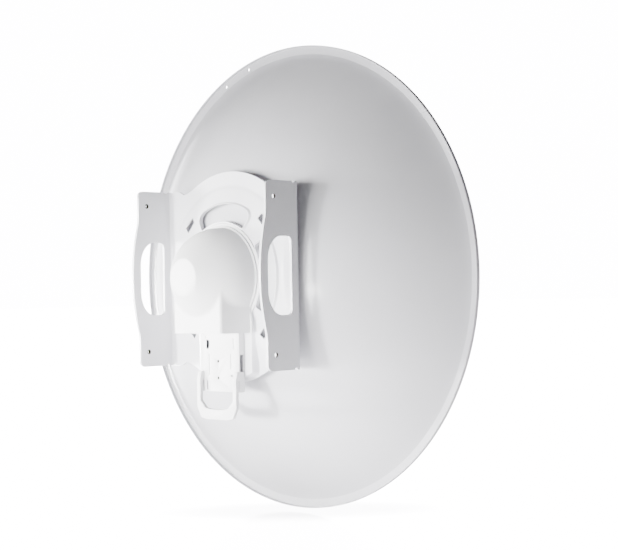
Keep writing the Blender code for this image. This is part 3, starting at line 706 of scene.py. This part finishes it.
def dome_reach_at(angle, z):
    """How far the dome's section at a height z lies from the base's middle, in a direction."""
    c, s = abs(math.cos(angle)), math.sin(angle)
    if abs(z) >= DOME_RADIUS:
        return 0.0
    short, long = 0.0, 0.12
    for _ in range(34):
        half = (short + long) / 2
        y = centre_y + half * s
        fits = y < NOSE_BACK and math.hypot(half * c, z) <= np.interp(y, profile_rise, profile_reach)
        if fits:
            short = half
        else:
            long = half
    return short


def soft_max(a, b):
    """The larger of two lengths, with a small fillet where they meet."""
    soft = 0.0030
    blend = max(soft - abs(a - b), 0.0) / soft
    return max(a, b) + blend * blend * soft * 0.25


# A few more points lie about the box's long edges, so that these stay round.
corner = math.atan2(BOX_BACK - centre_y, BOX_BACK_HALF)
for step in range(-4, 5):
    angle = corner + math.radians(0.7 * step)
    reach = dome_reach_at(angle, 0.0)
    profile.append((reach * math.cos(angle), centre_y + reach * math.sin(angle)))
profile.sort(key=lambda point: math.atan2(point[1] - centre_y, point[0]))
shape = bmesh.new()
directions = [math.atan2(y - centre_y, r) for r, y in profile]
upper = []
for k in range(COVER_TURNS + 1):
    angle = math.pi * k / COVER_TURNS
    upper.append([shape.verts.new((r * math.cos(angle), y, r * math.sin(angle))) for r, y in profile])
bridge(shape, upper)
all_angles = directions + [math.pi - a for a in directions[-2::-1]]
lower = []
for k in range(COVER_ROWS + 1):
    z = BOX_BOTTOM * k / COVER_ROWS
    row = []
    for angle in all_angles:
        dome = dome_reach_at(angle, z)
        reach = soft_max(dome, box_reach(angle)) if k else dome
        row.append(shape.verts.new((reach * math.cos(angle), centre_y + reach * math.sin(angle), z)))
    lower.append(row)
bridge(shape, lower)
bmesh.ops.remove_doubles(shape, verts=shape.verts, dist=0.00012)
bmesh.ops.recalc_face_normals(shape, faces=shape.faces)
cover = as_piece("rear_cover_moulding", shape)
if sum(f.normal.y for f in cover.data.polygons) < 0:
    cover.data.flip_normals()
wall = cover.modifiers.new("wall", "SOLIDIFY")
wall.thickness = COVER_WALL
wall.offset = -1.0
apply_modifiers(cover)


def prism(name, loop, low, high):
    """A flat (x, z) outline given a thickness along Y."""
    shape = bmesh.new()
    ends = [[shape.verts.new((x, y, z)) for x, z in loop] for y in (low, high)]
    shape.faces.new(ends[0])
    shape.faces.new(ends[1])
    for i in range(len(loop)):
        j = (i + 1) % len(loop)
        shape.faces.new((ends[0][i], ends[0][j], ends[1][j], ends[1][i]))
    bmesh.ops.recalc_face_normals(shape, faces=shape.faces)
    return as_piece(name, shape)


def join(piece, *others):
    """Puts other pieces into one object without cutting them."""
    shape = bmesh.new()
    for one in (piece, *others):
        shape.from_mesh(one.data)
    shape.to_mesh(piece.data)
    shape.free()
    for one in others:
        bpy.data.objects.remove(one, do_unlink=True)
    return piece


def foot_outline(radius, half, shoulder, bottom):
    """The foot's outline: round above, and straight down from its shoulders."""
    return arc_points(0.0, 0.0, radius, -38, 218, 72) + [
        (-half, shoulder), (-half, bottom), (half, bottom), (half, shoulder)]


foot = prism("cover_foot", foot_outline(FOOT_RADIUS, FOOT_HALF, -0.057, BOX_BOTTOM),
             COVER_FRONT, COVER_FRONT + FOOT_THICKNESS)
soften(foot, 0.0006, 40.0)
hollow = foot_outline(DOME_RADIUS - 0.0015, FOOT_HALF - FOOT_WALL, -0.050, BOX_BOTTOM - 0.01)
combine(foot, [prism("foot_hollow", hollow, COVER_FRONT - 0.01, COVER_FRONT + 0.01)])
join(cover, foot)
settle(cover, cover_white, ["rear_cover"], 30.0)


# Radio mount
# A thin-walled moulding of the same plastic, screwed to the bracket's seat. The radio's hooks drop
# into its four slots; two grooves free a spring tongue, and each side wall has a window for the latch.
MOUNT_FRONT = 0.1408
MOUNT_BACK = 0.150
MOUNT_HALF = 0.038
MOUNT_TOP = -0.048
MOUNT_BOTTOM = -0.153
MOUNT_WALL = 0.0022
SCREW_X = 0.0035
SCREW_HEIGHTS = (-0.1124, -0.1348)
# The slot that is cut right through, as its two sides, its bottom and its top.
HOOK_SLOT = (0.0212, 0.0266, -0.0958, -0.0840)


def brick(name, one, other):
    """A box between two opposite corners, used as a cutting tool or as raw stock."""
    x, y, z = (sorted(pair) for pair in zip(one, other))
    return prism(name, [(x[0], z[0]), (x[1], z[0]), (x[1], z[1]), (x[0], z[1])], y[0], y[1])


def cross_slot(x, z, long, narrow, front, back):
    """Two crossed bars that cut the cross slot of a screw's head."""
    return [brick("cross_slot", (x - u, front, z - v), (x + u, back, z + v))
            for u, v in ((long, narrow), (narrow, long))]


mount = brick("radio_mount_moulding", (-MOUNT_HALF, MOUNT_FRONT, MOUNT_BOTTOM),
              (MOUNT_HALF, MOUNT_BACK, MOUNT_TOP))
combine(mount, [brick("mount_hollow",
                      (-MOUNT_HALF + MOUNT_WALL, MOUNT_FRONT - 0.002, MOUNT_BOTTOM + MOUNT_WALL),
                      (MOUNT_HALF - MOUNT_WALL, MOUNT_BACK - MOUNT_WALL, MOUNT_TOP - MOUNT_WALL))])
# Each slot or groove as its two sides, its bottom and its top, and its depth in millimetres.
tools = []
for number, (x0, x1, z0, z1, deep) in enumerate((
        (*HOOK_SLOT, 6), (0.0282, 0.0292, -0.0838, -0.0784, 0.9),
        (-0.0307, -0.0262, -0.0962, -0.0810, 0.8), (0.0232, 0.0274, -0.1504, -0.1385, 2.4),
        (0.0276, 0.0286, -0.1386, -0.1352, 0.9), (-0.0305, -0.0275, -0.1504, -0.1385, 0.7),
        (0.0207, 0.0219, -0.1310, -0.1030, 1.4), (-0.0222, -0.0210, -0.1222, -0.1023, 1.4),
        (-0.0265, -0.0215, -0.1323, -0.1302, 2.4))):
    tools.append(brick("mount_slot_%d" % number,
                       (x0, MOUNT_BACK - deep / 1000, z0), (x1, MOUNT_BACK + 0.004, z1)))
for z in SCREW_HEIGHTS:
    tools.append(cylinder("mount_drill", 0.0020, (SCREW_X, MOUNT_BACK - 0.006, z),
                          (SCREW_X, MOUNT_BACK + 0.004, z), 24))
for side in (-1, 1):
    tools.append(brick("side_window", (side * 0.034, MOUNT_FRONT + 0.0012, -0.1262),
                       (side * 0.042, MOUNT_FRONT + 0.0078, -0.1032)))
combine(mount, tools)
soften(mount, 0.00045, 50.0)


def inside_mount(face):
    """Whether a face lines the moulding's hollow, or the hook slot cut through to it; these faces get painted
    shade.
    """
    x, y, z = face.center
    left, right, bottom, top = HOOK_SLOT
    wall, near = MOUNT_WALL - 0.0001, 0.0002
    in_slot = left - near < x < right + near and bottom - near < z < top + near
    in_hollow = abs(x) < MOUNT_HALF - wall and MOUNT_BOTTOM + wall < z < MOUNT_TOP - wall
    return y < MOUNT_BACK - 0.0006 and in_slot or y < MOUNT_BACK - wall and in_hollow


# The hollow and the hook slot are lined in a dark, dull grey: painted shade, so the slot and the windows in
# the sides look deep.
painted_shade_lining = grained_surface("painted shade lining the moulding's hollow", "#3A3842", "#2E2C36", 2.0, 0.8, 0.9)
settle(mount, cover_white, ["radio_mount"], 35.0, [(painted_shade_lining, inside_mount)])

# The oxide is black with hardly any shine and stands in for the shade of a hole: painted shade, so each screw
# is a small dark dot with a faint cross.
black_oxide_and_painted_shade = grained_surface("black oxide and painted shade on small steel screws", "#1A1715", "#12100E", 0.6, 0.6, 0.75)
black_oxide_and_painted_shade.node_tree.nodes["Principled BSDF"].inputs["Specular IOR Level"].default_value = 0.15
for number, z in enumerate(SCREW_HEIGHTS, 1):
    screw = cylinder("mount_screw_%d" % number, 0.0019, (SCREW_X, MOUNT_BACK - 0.0035, z),
                     (SCREW_X, MOUNT_BACK - 0.0003, z), 24)
    combine(screw, cross_slot(SCREW_X, z, 0.0013, 0.00025, MOUNT_BACK - 0.0016, MOUNT_BACK))
    soften(screw, 0.0002, 40.0)
    settle(screw, black_oxide_and_painted_shade, [], 30.0)


# Release latch
# A U of the same plastic, clipped into the mount's sides. Its legs spring the hooks free when the
# bar at its foot is pulled, so they start low at the mount and rise to the bar's level.
LATCH_BACK = 0.1575
LATCH_FRONT = 0.1525
LATCH_HALF = 0.039
LATCH_INSIDE = 0.032
LATCH_TOP = -0.126
latch_outer = rounded([(-LATCH_HALF, LATCH_TOP, 0.0), (-LATCH_HALF, -0.1735, 0.004),
                       (-0.0315, -0.1880, 0.004), (-0.020, -0.1900, 0.0)], 5)
latch_inner = rounded([(-LATCH_INSIDE, LATCH_TOP, 0.0), (-LATCH_INSIDE, -0.1650, 0.0025),
                       (-0.0222, -0.1748, 0.0025), (-0.010, -0.1764, 0.0)], 4)
outline_u = latch_outer + [(-x, z) for x, z in reversed(latch_outer)]
outline_u += [(-x, z) for x, z in latch_inner] + latch_inner[::-1]
latch = prism("release_latch_loop", dense(outline_u, 0.004), LATCH_FRONT, LATCH_BACK)
# The legs lie 3.1 mm lower at the mount, and rise over their first 16 mm.
for vertex in latch.data.vertices:
    vertex.co.y -= 0.0031 * (1 - smooth_step((-vertex.co.z - 0.124) / 0.016))
feet = [brick("latch_foot", (side * 0.0324, 0.1503, -0.1378), (side * 0.0386, 0.1522, -0.1262))
        for side in (-1, 1)]
soften(latch, 0.0004, 40.0)
join(latch, *feet)
settle(latch, cover_white, ["release_latch"])


# Hub bolts and nuts
# Four M6 button-head bolts of bright zinc-plated steel clamp the reflector to the bracket. Their heads
# sit in the bowl and their chamfered hexagon nuts under the cover.
HUB_BOLT_CIRCLE = 0.048
HEAD_RADIUS = 0.0068
HEAD_HEIGHT = 0.0034
SHANK_RADIUS = 0.003
NUT_RADIUS = 0.0058
NUT_HEIGHT = 0.005
SOCKET_RADIUS = 0.0023
BOLT_SEAT = HUB_FACE - SHEET - 0.0003
NUT_SEAT = HUB_BACK + 0.0003


def ring_of(piece, count, radius, start, finish):
    """Repeats a small piece round the dish's axis with Geometry Nodes, then makes it plain mesh."""
    tree = bpy.data.node_groups.new("ring of " + piece.name, "GeometryNodeTree")
    ids = {}
    for name, kind in (("Geometry", "Geometry"), ("Count", "Int"), ("Radius", "Float"),
                       ("Start Angle", "Float"), ("Finish", "Material")):
        given = tree.interface.new_socket(name, in_out="INPUT", socket_type="NodeSocket" + kind)
        ids[name] = given.identifier
    tree.interface.new_socket("Geometry", in_out="OUTPUT", socket_type="NodeSocketGeometry")
    given = add_node(tree, "NodeGroupInput").outputs
    circle = add_node(tree, "GeometryNodeMeshCircle", None, {
        "Vertices": given["Count"], "Radius": given["Radius"]})
    start_turn = add_node(tree, "ShaderNodeCombineXYZ", None, {"Z": given["Start Angle"]})
    spun = add_node(tree, "GeometryNodeTransform", None, {
        "Geometry": circle.outputs["Mesh"], "Rotation": start_turn.outputs["Vector"]})
    upright = add_node(tree, "GeometryNodeTransform", None, {
        "Geometry": spun.outputs["Geometry"], "Rotation": (math.pi / 2, 0.0, 0.0)})
    placed = add_node(tree, "GeometryNodeInstanceOnPoints", None, {
        "Points": upright.outputs["Geometry"], "Instance": given["Geometry"]})
    real = add_node(tree, "GeometryNodeRealizeInstances", None, {"Geometry": placed.outputs["Instances"]})
    painted = add_node(tree, "GeometryNodeSetMaterial", None, {
        "Geometry": real.outputs["Geometry"], "Material": given["Finish"]})
    add_node(tree, "NodeGroupOutput", None, {"Geometry": painted.outputs["Geometry"]})
    step = piece.modifiers.new("ring", "NODES")
    step.node_group = tree
    step[ids["Count"]] = count
    step[ids["Radius"]] = radius
    step[ids["Start Angle"]] = start
    step[ids["Finish"]] = finish
    return apply_modifiers(piece)


# The zinc is bright with a slight mottle, so it glints without mirroring.
zinc = plated_metal("bright zinc plate on steel", "#C9CCD0", "#B4B8BE", 1.5, 0.24, 0.4)
shank_end = NUT_SEAT + NUT_HEIGHT + 0.002
head_line = rounded([
    (SHANK_RADIUS, BOLT_SEAT, 0.0), (HEAD_RADIUS, BOLT_SEAT, 0.0003),
    (HEAD_RADIUS * 0.97, BOLT_SEAT - 0.0012, 0.0006),
    (HEAD_RADIUS * 0.62, BOLT_SEAT - HEAD_HEIGHT, 0.0022), (0.0, BOLT_SEAT - HEAD_HEIGHT, 0.0)])
bolts = turned("hub_bolts", [(0.0, shank_end), (0.0024, shank_end)]
               + thread(SHANK_RADIUS, 0.001, shank_end - 0.0003, 0.141) + head_line, 28, closed=False)
combine(bolts, [cylinder("hex_socket", SOCKET_RADIUS, (0, BOLT_SEAT - HEAD_HEIGHT - 0.001, 0),
                         (0, BOLT_SEAT - 0.0012, 0), 6)])
ring_of(bolts, 4, HUB_BOLT_CIRCLE, math.pi / 4, zinc)
settle(bolts, zinc, ["hub_bolt_%d" % number for number in range(1, 5)], 30.0)

nuts = cylinder("hub_nuts", NUT_RADIUS, (0, NUT_SEAT, 0), (0, NUT_SEAT + NUT_HEIGHT, 0), 6)
chamfer = turned("nut_chamfer", [
    (0.0, NUT_SEAT + NUT_HEIGHT + 0.001), (NUT_RADIUS * 0.72, NUT_SEAT + NUT_HEIGHT + 0.001),
    (NUT_RADIUS * 0.86, NUT_SEAT + NUT_HEIGHT), (NUT_RADIUS * 1.02, NUT_SEAT + NUT_HEIGHT - 0.0009),
    (NUT_RADIUS * 1.02, NUT_SEAT - 0.001), (0.0, NUT_SEAT - 0.001)], 32, closed=False)
combine(nuts, [chamfer], "INTERSECT")
combine(nuts, [cylinder("nut_bore", SHANK_RADIUS + 0.0001, (0, 0.13, 0), (0, 0.16, 0), 28)])
ring_of(nuts, 4, HUB_BOLT_CIRCLE, math.pi / 4, zinc)
settle(nuts, zinc, ["hub_nut_%d" % number for number in range(1, 5)], 30.0)


# Feed
# The feed stands on the dish's axis: a screwed collar, a plastic tube, a stepped dielectric flare, an
# aluminium sub-reflector and a plastic cap. Only the screws and the disc's edge show bare metal.
TUBE_RADIUS = 0.020
TUBE_FRONT = 0.020
COLLAR_RADIUS = 0.040
COLLAR_THICKNESS = 0.005
COLLAR_SCREW_CIRCLE = 0.0275
FLARE_RADIUS = 0.036
FLARE_FRONT = -0.020
FLARE_STEPS = 6
SUB_RADIUS = 0.037
SUB_THICKNESS = 0.004
CAP_FRONT = -0.040
# Moulded pieces stand this far apart where they meet.
SEAM = 0.0003


def turned_aluminium(name, light, shade, pitch_mm):
    """Bare aluminium off the lathe: fine rings about the dish's axis, and a little uneven gloss."""
    made = plated_metal(name, light, shade, 6.0, 0.26, 0.36)
    tree = made.node_tree
    shader = tree.nodes["Principled BSDF"]
    place = add_node(tree, "ShaderNodeTexCoord").outputs["Object"]
    centred = add_node(tree, "ShaderNodeVectorMath", {"operation": "SUBTRACT"}, {0: place, 1: CENTRE})
    rings = add_node(tree, "ShaderNodeTexWave", {"wave_type": "RINGS", "rings_direction": "Y"}, {
        "Vector": centred.outputs["Vector"], "Scale": 2 * math.pi / (20 * pitch_mm / 1000)})
    bump = add_node(tree, "ShaderNodeBump", None, {
        "Strength": 0.3, "Distance": 0.00003, "Height": rings.outputs["Fac"]})
    tree.links.new(bump.outputs["Normal"], shader.inputs["Normal"])
    return made


# The rings left by the lathe stretch each highlight round the disc and down the block. The real ones
# lie closer, so they are drawn coarser to show at all.
aluminium = turned_aluminium("turned bare aluminium", "#D6D7D9", "#C6C8CB", 0.8)
screw_face = BOLT_SEAT - COLLAR_THICKNESS
collar = turned("feed_collar_ring", rounded([
    (0.0315, BOLT_SEAT, 0.0), (COLLAR_RADIUS, BOLT_SEAT, 0.0003), (COLLAR_RADIUS, BOLT_SEAT - 0.002, 0.0008),
    (COLLAR_RADIUS - 0.006, screw_face, 0.0016), (TUBE_RADIUS + 0.0006, screw_face, 0.0006),
    (TUBE_RADIUS + 0.0006, BOLT_SEAT, 0.0003), (0.0315, BOLT_SEAT, 0.0)])[1:], 120)
settle(collar, cover_white, ["feed_collar"])

screws = turned("collar_screws", [(0.0, screw_face + 0.002), (0.0016, screw_face + 0.002)] + rounded([
    (0.0016, screw_face, 0.0), (0.0027, screw_face, 0.0002), (0.0026, screw_face - 0.0012, 0.0008),
    (0.0, screw_face - 0.0017, 0.0)]), 20, closed=False)
combine(screws, cross_slot(0.0, 0.0, 0.0016, 0.0003, screw_face - 0.003, screw_face - 0.0008))
ring_of(screws, 4, COLLAR_SCREW_CIRCLE, 0.0, zinc)
settle(screws, zinc, [], 30.0)

tube_line = [(0.0, HUB_BACK), (TUBE_RADIUS, HUB_BACK), (TUBE_RADIUS, 0.1175), (TUBE_RADIUS - 0.0005, 0.1172),
             (TUBE_RADIUS - 0.0005, TUBE_FRONT + 0.0120), (TUBE_RADIUS, TUBE_FRONT + 0.0117)]
tube_line += rounded([(TUBE_RADIUS, TUBE_FRONT + 0.0117, 0.0), (TUBE_RADIUS, TUBE_FRONT + 0.0035, 0.001),
                      (TUBE_RADIUS - 0.002, TUBE_FRONT, 0.0005), (0.0, TUBE_FRONT, 0.0)])[1:]
tube = turned("feed_tube_moulding", tube_line, 120, closed=False)
settle(tube, cover_white, ["feed_tube"])

flare_back = TUBE_FRONT - SEAM
flare_line = [(0.0, flare_back, 0.0), (TUBE_RADIUS - 0.002, flare_back, 0.0006)]
for step in range(FLARE_STEPS):
    share = step / FLARE_STEPS
    radius = TUBE_RADIUS - 0.001 + (FLARE_RADIUS - TUBE_RADIUS + 0.001) * share ** 1.6
    y = flare_back - 0.003 - (flare_back - 0.003 - FLARE_FRONT) * share
    flare_line += [(radius, y, 0.0005), (radius + 0.0001, y - 0.0050, 0.0005)]
flare_line += [(FLARE_RADIUS, FLARE_FRONT + 0.0034, 0.0008), (FLARE_RADIUS, FLARE_FRONT, 0.0004),
               (0.0, FLARE_FRONT, 0.0)]
flare = turned("feed_flare_moulding", rounded(flare_line, 3), 120, closed=False)
settle(flare, cover_white, ["feed_flare"])

sub_back = FLARE_FRONT - SEAM
sub_front = sub_back - SUB_THICKNESS
sub = turned("sub_reflector_disc", rounded([
    (0.0, sub_back, 0.0), (SUB_RADIUS, sub_back, 0.0006), (SUB_RADIUS, sub_front, 0.0006),
    (0.0, sub_front, 0.0)]), 120, closed=False)
settle(sub, aluminium, ["sub_reflector"])

cap_back = sub_front - SEAM
cap_line = [(0.0, cap_back), (SUB_RADIUS + 0.0006, cap_back), (SUB_RADIUS + 0.001, cap_back - 0.0005)]
for step in range(1, 25):
    angle = math.pi / 2 * step / 24
    cap_line.append(((SUB_RADIUS + 0.001) * max(math.cos(angle), 0.0) ** 0.6 if step < 24 else 0.0,
                     cap_back - 0.0005 - (cap_back - 0.0005 - CAP_FRONT) * math.sin(angle)))
cap = turned("feed_cap_moulding", cap_line, 120, closed=False)
settle(cap, cover_white, ["feed_cap"])


# Feed block and radio connectors
# Behind the hub the feed ends in a turned aluminium block. Two gold-plated brass connectors hang from
# its flat, for the radio that slides in from below; they show through the cover's open bottom.
BLOCK_RADIUS = 0.027
BLOCK_BACK = 0.168
BLOCK_FLAT = -0.023
CONNECTOR_X = 0.012
CONNECTOR_Y = 0.158
CONNECTOR_RADIUS = 0.0042
CONNECTOR_BOTTOM = -0.044
block = turned("feed_block_turning", rounded([
    (0.0, BLOCK_BACK, 0.0), (BLOCK_RADIUS - 0.003, BLOCK_BACK, 0.0004),
    (BLOCK_RADIUS, BLOCK_BACK - 0.003, 0.0004),
    (BLOCK_RADIUS, NUT_SEAT, 0.0004), (0.0, NUT_SEAT, 0.0)]), 96, closed=False)
combine(block, [brick("connector_flat", (-0.04, 0.13, -0.04), (0.04, 0.18, BLOCK_FLAT))])
settle(block, aluminium, ["feed_block"])

# The gold plate is warm and quite glossy, the one spot of colour under the cover.
brass = plated_metal("gold plate on turned brass", "#DDBB70", "#C9A253", 1.2, 0.2, 0.34)
# Each is turned about +Y, down from the block's flat, then tipped to hang from it.
top, bottom, root = -BLOCK_FLAT + SEAM, -CONNECTOR_BOTTOM, CONNECTOR_RADIUS - 0.0004
for name, x in (("rf_connector_left", CONNECTOR_X), ("rf_connector_right", -CONNECTOR_X)):
    barrel = turned(name + "_barrel", [(0.0, top), (root, top), (root, 0.0295)]
                    + thread(CONNECTOR_RADIUS, 0.0009, 0.0297, bottom - 0.0004)
                    + [(root, bottom), (0.0026, bottom), (0.0024, 0.0385), (0.0, 0.0385)], 28, closed=False)
    hexagon = cylinder(name + "_nut", CONNECTOR_RADIUS * 1.5, (0, top + 0.0009, 0), (0, top + 0.0057, 0), 6)
    soften(hexagon, 0.0003, 30.0)
    combine(barrel, [hexagon], "UNION")
    barrel.data.transform(Matrix.Translation((x, CONNECTOR_Y, 0.0)) @ Matrix.Rotation(-math.pi / 2, 4, "X"))
    settle(barrel, brass, [name], 30.0)


# Stage
# A backlit sheet of white acrylic, as used for product portraits: it glows white and mirrors faintly.
# The camera sees one even white, apart from a painted shadow at the dish's foot, while zones of its glow
# light the dish as in the photograph.
FLOOR_GAP = 0.0042
# The way the photograph looks, kept level, and the way across it to the right.
VIEW = (0.7025, -0.7114, 0.0)
VIEW_ACROSS = (-0.7114, -0.7025, 0.0)
UNDER_GLOW = 2.1
LEFT_GLOW = 1.5
NEAR_GLOW = 3.8
FAR_GLOW = 5.0
SEEN_GLOW = 15.0
# A painted shadow at the dish's foot dims the sheet's glow to this share, over an ellipse that reaches this
# far along and across.
SHADE = 0.45
SHADE_REACH = (0.13, 0.30, 1.0)
shape = bmesh.new()
bmesh.ops.create_grid(shape, x_segments=1, y_segments=1, size=30.0)
bmesh.ops.translate(shape, vec=(0.0, 0.0, CENTRE.z - RIM_RADIUS - FLOOR_GAP), verts=shape.verts)
floor = as_piece("acrylic_floor", shape)
acrylic, tree, shader, place = start_material("backlit white acrylic sheet")
shader.inputs["Base Color"].default_value = (0.02, 0.02, 0.02, 1.0)
shader.inputs["Roughness"].default_value = 0.12
shader.inputs["IOR"].default_value = 1.35
shader.inputs["Emission Color"].default_value = (0.985, 0.975, 1.0, 1.0)
from_dish = add_node(tree, "ShaderNodeVectorMath", {"operation": "SUBTRACT"}, {0: place, 1: CENTRE})
along, across = (add_node(tree, "ShaderNodeVectorMath", {"operation": "DOT_PRODUCT"}, {
    0: from_dish.outputs["Vector"], 1: way}).outputs["Value"] for way in (VIEW, VIEW_ACROSS))
foot = add_node(tree, "ShaderNodeCombineXYZ", None, {"X": along, "Y": across}).outputs["Vector"]
foot = add_node(tree, "ShaderNodeVectorMath", {"operation": "DIVIDE"}, {0: foot, 1: SHADE_REACH})
foot = add_node(tree, "ShaderNodeVectorMath", {"operation": "LENGTH"}, {0: foot.outputs["Vector"]})
# Each zone is the product of its fades, and a fade runs between two places from one value to another.
glow = 0.0
for zone in (
        ((along, -0.9, -0.4, 0.0, UNDER_GLOW), (along, 0.2, 1.4, 1.0, 0.0)),
        ((along, -0.9, -0.4, LEFT_GLOW, 0.0), (across, -0.4, 0.1, 1.0, 0.0)),
        ((along, -0.6, -0.4, 0.0, NEAR_GLOW), (along, -0.24, -0.12, 1.0, 0.0), (across, -0.1, 0.2, 1.0, 0.1)),
        ((along, 0.2, 1.4, 0.0, FAR_GLOW),)):
    share = 1.0
    for value, start, end, low, high in zone:
        fade = add_node(tree, "ShaderNodeMapRange", {"interpolation_type": "SMOOTHSTEP"}, {
            "Value": value, "From Min": start, "From Max": end, "To Min": low, "To Max": high})
        share = add_node(tree, "ShaderNodeMath", {"operation": "MULTIPLY"}, {
            0: share, 1: fade.outputs["Result"]}).outputs["Value"]
    glow = add_node(tree, "ShaderNodeMath", {"operation": "ADD"}, {0: glow, 1: share}).outputs["Value"]
# Looked at straight, the sheet is one even white but for the painted shadow at the foot; its brighter zones
# only light the dish.
seen = add_node(tree, "ShaderNodeLightPath").outputs["Is Camera Ray"]
seen = add_node(tree, "ShaderNodeMath", {"operation": "MULTIPLY"}, {0: seen, 1: SEEN_GLOW}).outputs["Value"]
glow = add_node(tree, "ShaderNodeMath", {"operation": "MAXIMUM"}, {0: glow, 1: seen}).outputs["Value"]
# The painted shadow at the dish's foot, on the white the camera sees and on the glow that lights the dish.
shade = add_node(tree, "ShaderNodeMapRange", {"interpolation_type": "SMOOTHSTEP"}, {
    "Value": foot.outputs["Value"], "From Min": 0.3, "From Max": 1.0, "To Min": SHADE, "To Max": 1.0})
glow = add_node(tree, "ShaderNodeMath", {"operation": "MULTIPLY"}, {0: glow, 1: shade.outputs["Result"]})
tree.links.new(glow.outputs["Value"], shader.inputs["Emission Strength"])
floor.data.materials.append(acrylic)

# Light
# A white backdrop glows behind the dish in an otherwise dim white room, and the camera sees it as one
# even white. A low soft box and four soft spots face the bracket from the camera's left, so faces
# turned to the right fall into shade.
BACKDROP_GLOW = 13.0
ROOM_GLOW = 0.35
SEEN_WHITE = 16.0
WARM_WHITE = (1.0, 0.995, 0.985)
world = bpy.data.worlds.new("white studio")
bpy.context.scene.world = world
world.use_nodes = True
tree = world.node_tree
ray = add_node(tree, "ShaderNodeTexCoord").outputs["Generated"]
strength = 0.0
for way, start, end, low, high in ((VIEW, 0.86, 0.96, 0.0, BACKDROP_GLOW),
                                   ((-0.892, 0.367, 0.262), -0.2, 0.8, ROOM_GLOW, 0.0)):
    facing = add_node(tree, "ShaderNodeVectorMath", {"operation": "DOT_PRODUCT"}, {0: ray, 1: way})
    fade = add_node(tree, "ShaderNodeMapRange", {"interpolation_type": "SMOOTHSTEP"}, {
        "Value": facing.outputs["Value"], "From Min": start, "From Max": end, "To Min": low, "To Max": high})
    strength = add_node(tree, "ShaderNodeMath", {"operation": "ADD"}, {
        0: strength, 1: fade.outputs["Result"]}).outputs["Value"]
seen = add_node(tree, "ShaderNodeLightPath").outputs["Is Camera Ray"]
seen = add_node(tree, "ShaderNodeMath", {"operation": "MULTIPLY"}, {0: seen, 1: SEEN_WHITE}).outputs["Value"]
strength = add_node(tree, "ShaderNodeMath", {"operation": "MAXIMUM"}, {0: strength, 1: seen})
tree.links.new(strength.outputs["Value"], tree.nodes["Background"].inputs["Strength"])
tree.nodes["Background"].inputs["Color"].default_value = (0.975, 0.965, 1.0, 1.0)


def aimed_lamp(name, kind, place, aim, power):
    """A white lamp aimed at a point, both given from the middle of the dish's rim."""
    lamp = bpy.data.lights.new(name, kind)
    lamp.energy = power
    lamp.color = WARM_WHITE
    made = bpy.data.objects.new(name, lamp)
    made.location = CENTRE + Vector(place)
    made.rotation_euler = (Vector(aim) - Vector(place)).to_track_quat("-Z", "Y").to_euler()
    bpy.context.scene.collection.objects.link(made)
    return made


soft_box = aimed_lamp("low_soft_box", "AREA", (0.1, 1.6, -0.2), (0.0, 0.1, 0.0), 37.0)
soft_box.data.shape = "RECTANGLE"
soft_box.data.size = 0.8
soft_box.data.size_y = 0.22
soft_box.visible_camera = False
soft_box.visible_glossy = False
# Each spot stands behind a half-metre diffuser, and its beam, in degrees, has no hard edge.
for name, place, aim, beam, power in (("low_front_spot", (0.0, 2.4, -0.3), (0.03, 0.15, -0.06), 9.0, 453.0),
                                      ("bracket_spot", (0.5, 2.4, 0.0), (0.06, 0.15, -0.11), 8.0, 2294.0),
                                      ("cover_spot", (1.45, 1.45, 0.0), (0.05, 0.15, 0.0), 6.0, 285.0),
                                      ("side_spot", (1.6, 1.2, -0.1), (0.03, 0.15, -0.06), 12.0, 1377.0)):
    spot = aimed_lamp(name, "SPOT", place, aim, power)
    spot.data.spot_size = math.radians(beam)
    spot.data.spot_blend = 1.0
    spot.data.shadow_soft_size = 0.26

# Camera
# The lens and the place come from a fit to the rim, the flanges and the cover in the photograph.
FOCAL_PIXELS = 1501.5
FRAME_WIDTH = 618
SENSOR_WIDTH = 36.0
AZIMUTH, ELEVATION, ROLL = (math.radians(angle) for angle in (44.638, -0.647, -1.034))
DISTANCE, SHIFT_ACROSS, SHIFT_UP = 2.1168, 0.0159, 0.0021
level = math.cos(ELEVATION)
forward = Vector((math.sin(AZIMUTH) * level, -math.cos(AZIMUTH) * level, -math.sin(ELEVATION)))
across = Vector((-math.cos(AZIMUTH), -math.sin(AZIMUTH), 0.0))
upward = across.cross(forward)
eye = -forward * DISTANCE + across * SHIFT_ACROSS + upward * SHIFT_UP
right = across * math.cos(ROLL) + upward * math.sin(ROLL)
top = upward * math.cos(ROLL) - across * math.sin(ROLL)
lens = bpy.data.cameras.new("portrait")
lens.sensor_width = SENSOR_WIDTH
lens.lens = FOCAL_PIXELS / FRAME_WIDTH * SENSOR_WIDTH
lens.clip_end = 100.0
camera = bpy.data.objects.new("portrait", lens)
camera.matrix_world = Matrix.Translation(CENTRE + eye) @ Matrix((right, top, -forward)).transposed().to_4x4()
bpy.context.scene.collection.objects.link(camera)
bpy.context.scene.camera = camera
